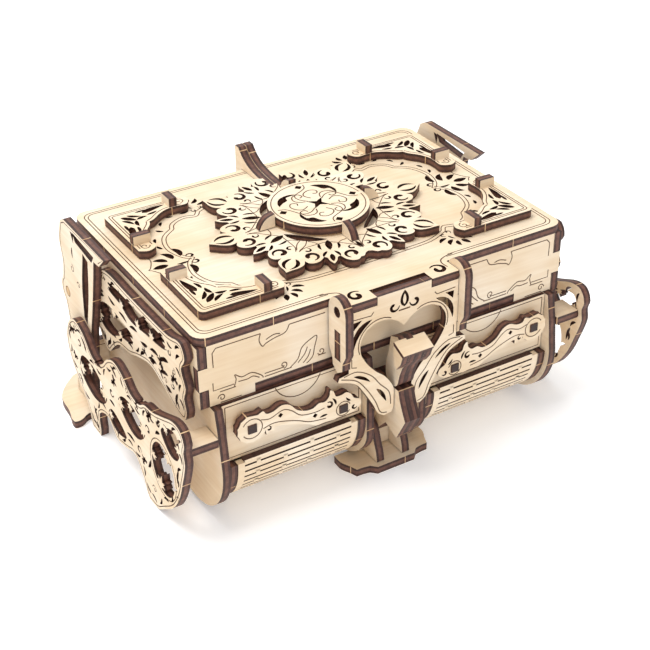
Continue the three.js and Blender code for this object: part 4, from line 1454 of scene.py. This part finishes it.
class CASKET_OT_stage(PieceOperator, bpy.types.Operator):
    """Lays the pale floor and sets the lights and the camera"""

    bl_idname = "casket.stage"
    bl_label = "Stage"

    def execute(self, context):
        scene = context.scene
        mesh = bpy.data.meshes.new("floor")
        mesh.from_pydata([(-4, -4, -0.0002), (4, -4, -0.0002), (4, 4, -0.0002), (-4, 4, -0.0002)], [],
            [(0, 1, 2, 3)])
        floor = linked("floor", mesh)
        _, shader = new_material("white_paper_sweep")
        shader.inputs["Base Color"].default_value = linear("#fbfbfc")
        shader.inputs["Roughness"].default_value = 0.9
        shader.inputs["Emission Color"].default_value = (1, 1, 1, 1)
        shader.inputs["Emission Strength"].default_value = 0.22
        mesh.materials.append(bpy.data.materials["white_paper_sweep"])
        world = bpy.data.worlds.new("studio")
        world.use_nodes = True
        world.node_tree.nodes["Background"].inputs["Color"].default_value = (1, 1, 1, 1)
        world.node_tree.nodes["Background"].inputs["Strength"].default_value = 0.7
        scene.world = world
        for name, place, size, power in (
            ("key", (-0.3, 0.1, 0.95), 0.5, 6.0), ("fill", (-0.3, -0.9, 0.5), 0.8, 1.6),
            ("rim", (0.3, 0.8, 0.7), 0.6, 2.0),
        ):
            data = bpy.data.lights.new(name, "AREA")
            data.energy, data.size = power, size
            lamp = bpy.data.objects.new(name, data)
            lamp.location = place
            lamp.rotation_euler = (Vector((0, 0, 0.04)) - Vector(place)).to_track_quat("-Z", "Y").to_euler()
            scene.collection.objects.link(lamp)
        data = bpy.data.cameras.new("camera")
        data.lens, data.sensor_width = 75.16, 36.0
        data.clip_start, data.clip_end = 0.05, 20
        camera = bpy.data.objects.new("camera", data)
        azimuth, elevation, roll = (math.radians(a) for a in (-30.81, 32.28, -0.71))
        turn = Matrix.Rotation(azimuth, 4, "Z") @ Matrix.Rotation(math.pi / 2 - elevation, 4, "X")
        turn = turn @ Matrix.Rotation(roll, 4, "Z")
        camera.matrix_world = Matrix.Translation((-0.2269, -0.3346 + FRONT * MM, 0.3152)) @ turn
        scene.collection.objects.link(camera)
        scene.camera = camera
        scene.view_settings.view_transform = "Standard"
        return {"FINISHED"}


PIECES = (
    CASKET_OT_finishes, CASKET_OT_carcass, CASKET_OT_foot, CASKET_OT_fronts, CASKET_OT_side_lace,
    CASKET_OT_rear_posts, CASKET_OT_drawers, CASKET_OT_lid, CASKET_OT_corners, CASKET_OT_rosette,
    CASKET_OT_handle, CASKET_OT_lock_plate, CASKET_OT_latch, CASKET_OT_bridge_stubs, CASKET_OT_stage,
)


class CASKET_PT_panel(bpy.types.Panel):
    """Lists the settings and the pieces"""

    bl_idname = "CASKET_PT_panel"
    bl_label = "Casket"
    bl_space_type = "VIEW_3D"
    bl_region_type = "UI"
    bl_category = "Casket"

    def draw(self, context):
        layout = self.layout
        for group in (context.scene.casket_sizes, context.scene.casket_colours):
            for name in group.__annotations__:
                layout.prop(group, name)
        for piece in PIECES:
            layout.operator(piece.bl_idname)


def register():
    """Registers the settings, the operators and the panel."""
    for cls in (CasketSizes, CasketColours, *PIECES, CASKET_PT_panel):
        bpy.utils.register_class(cls)
    bpy.types.Scene.casket_sizes = bpy.props.PointerProperty(type=CasketSizes)
    bpy.types.Scene.casket_colours = bpy.props.PointerProperty(type=CasketColours)


def unregister():
    """Takes them away again."""
    del bpy.types.Scene.casket_colours
    del bpy.types.Scene.casket_sizes
    for cls in (CASKET_PT_panel, *reversed(PIECES), CasketColours, CasketSizes):
        bpy.utils.unregister_class(cls)


def main():
    """Registers the casket's classes and builds every piece."""
    register()
    for piece in PIECES:
        group, name = piece.bl_idname.split(".")
        done = getattr(getattr(bpy.ops, group), name)()
        need(done == {"FINISHED"}, name)


if __name__ == "__main__":
    main()
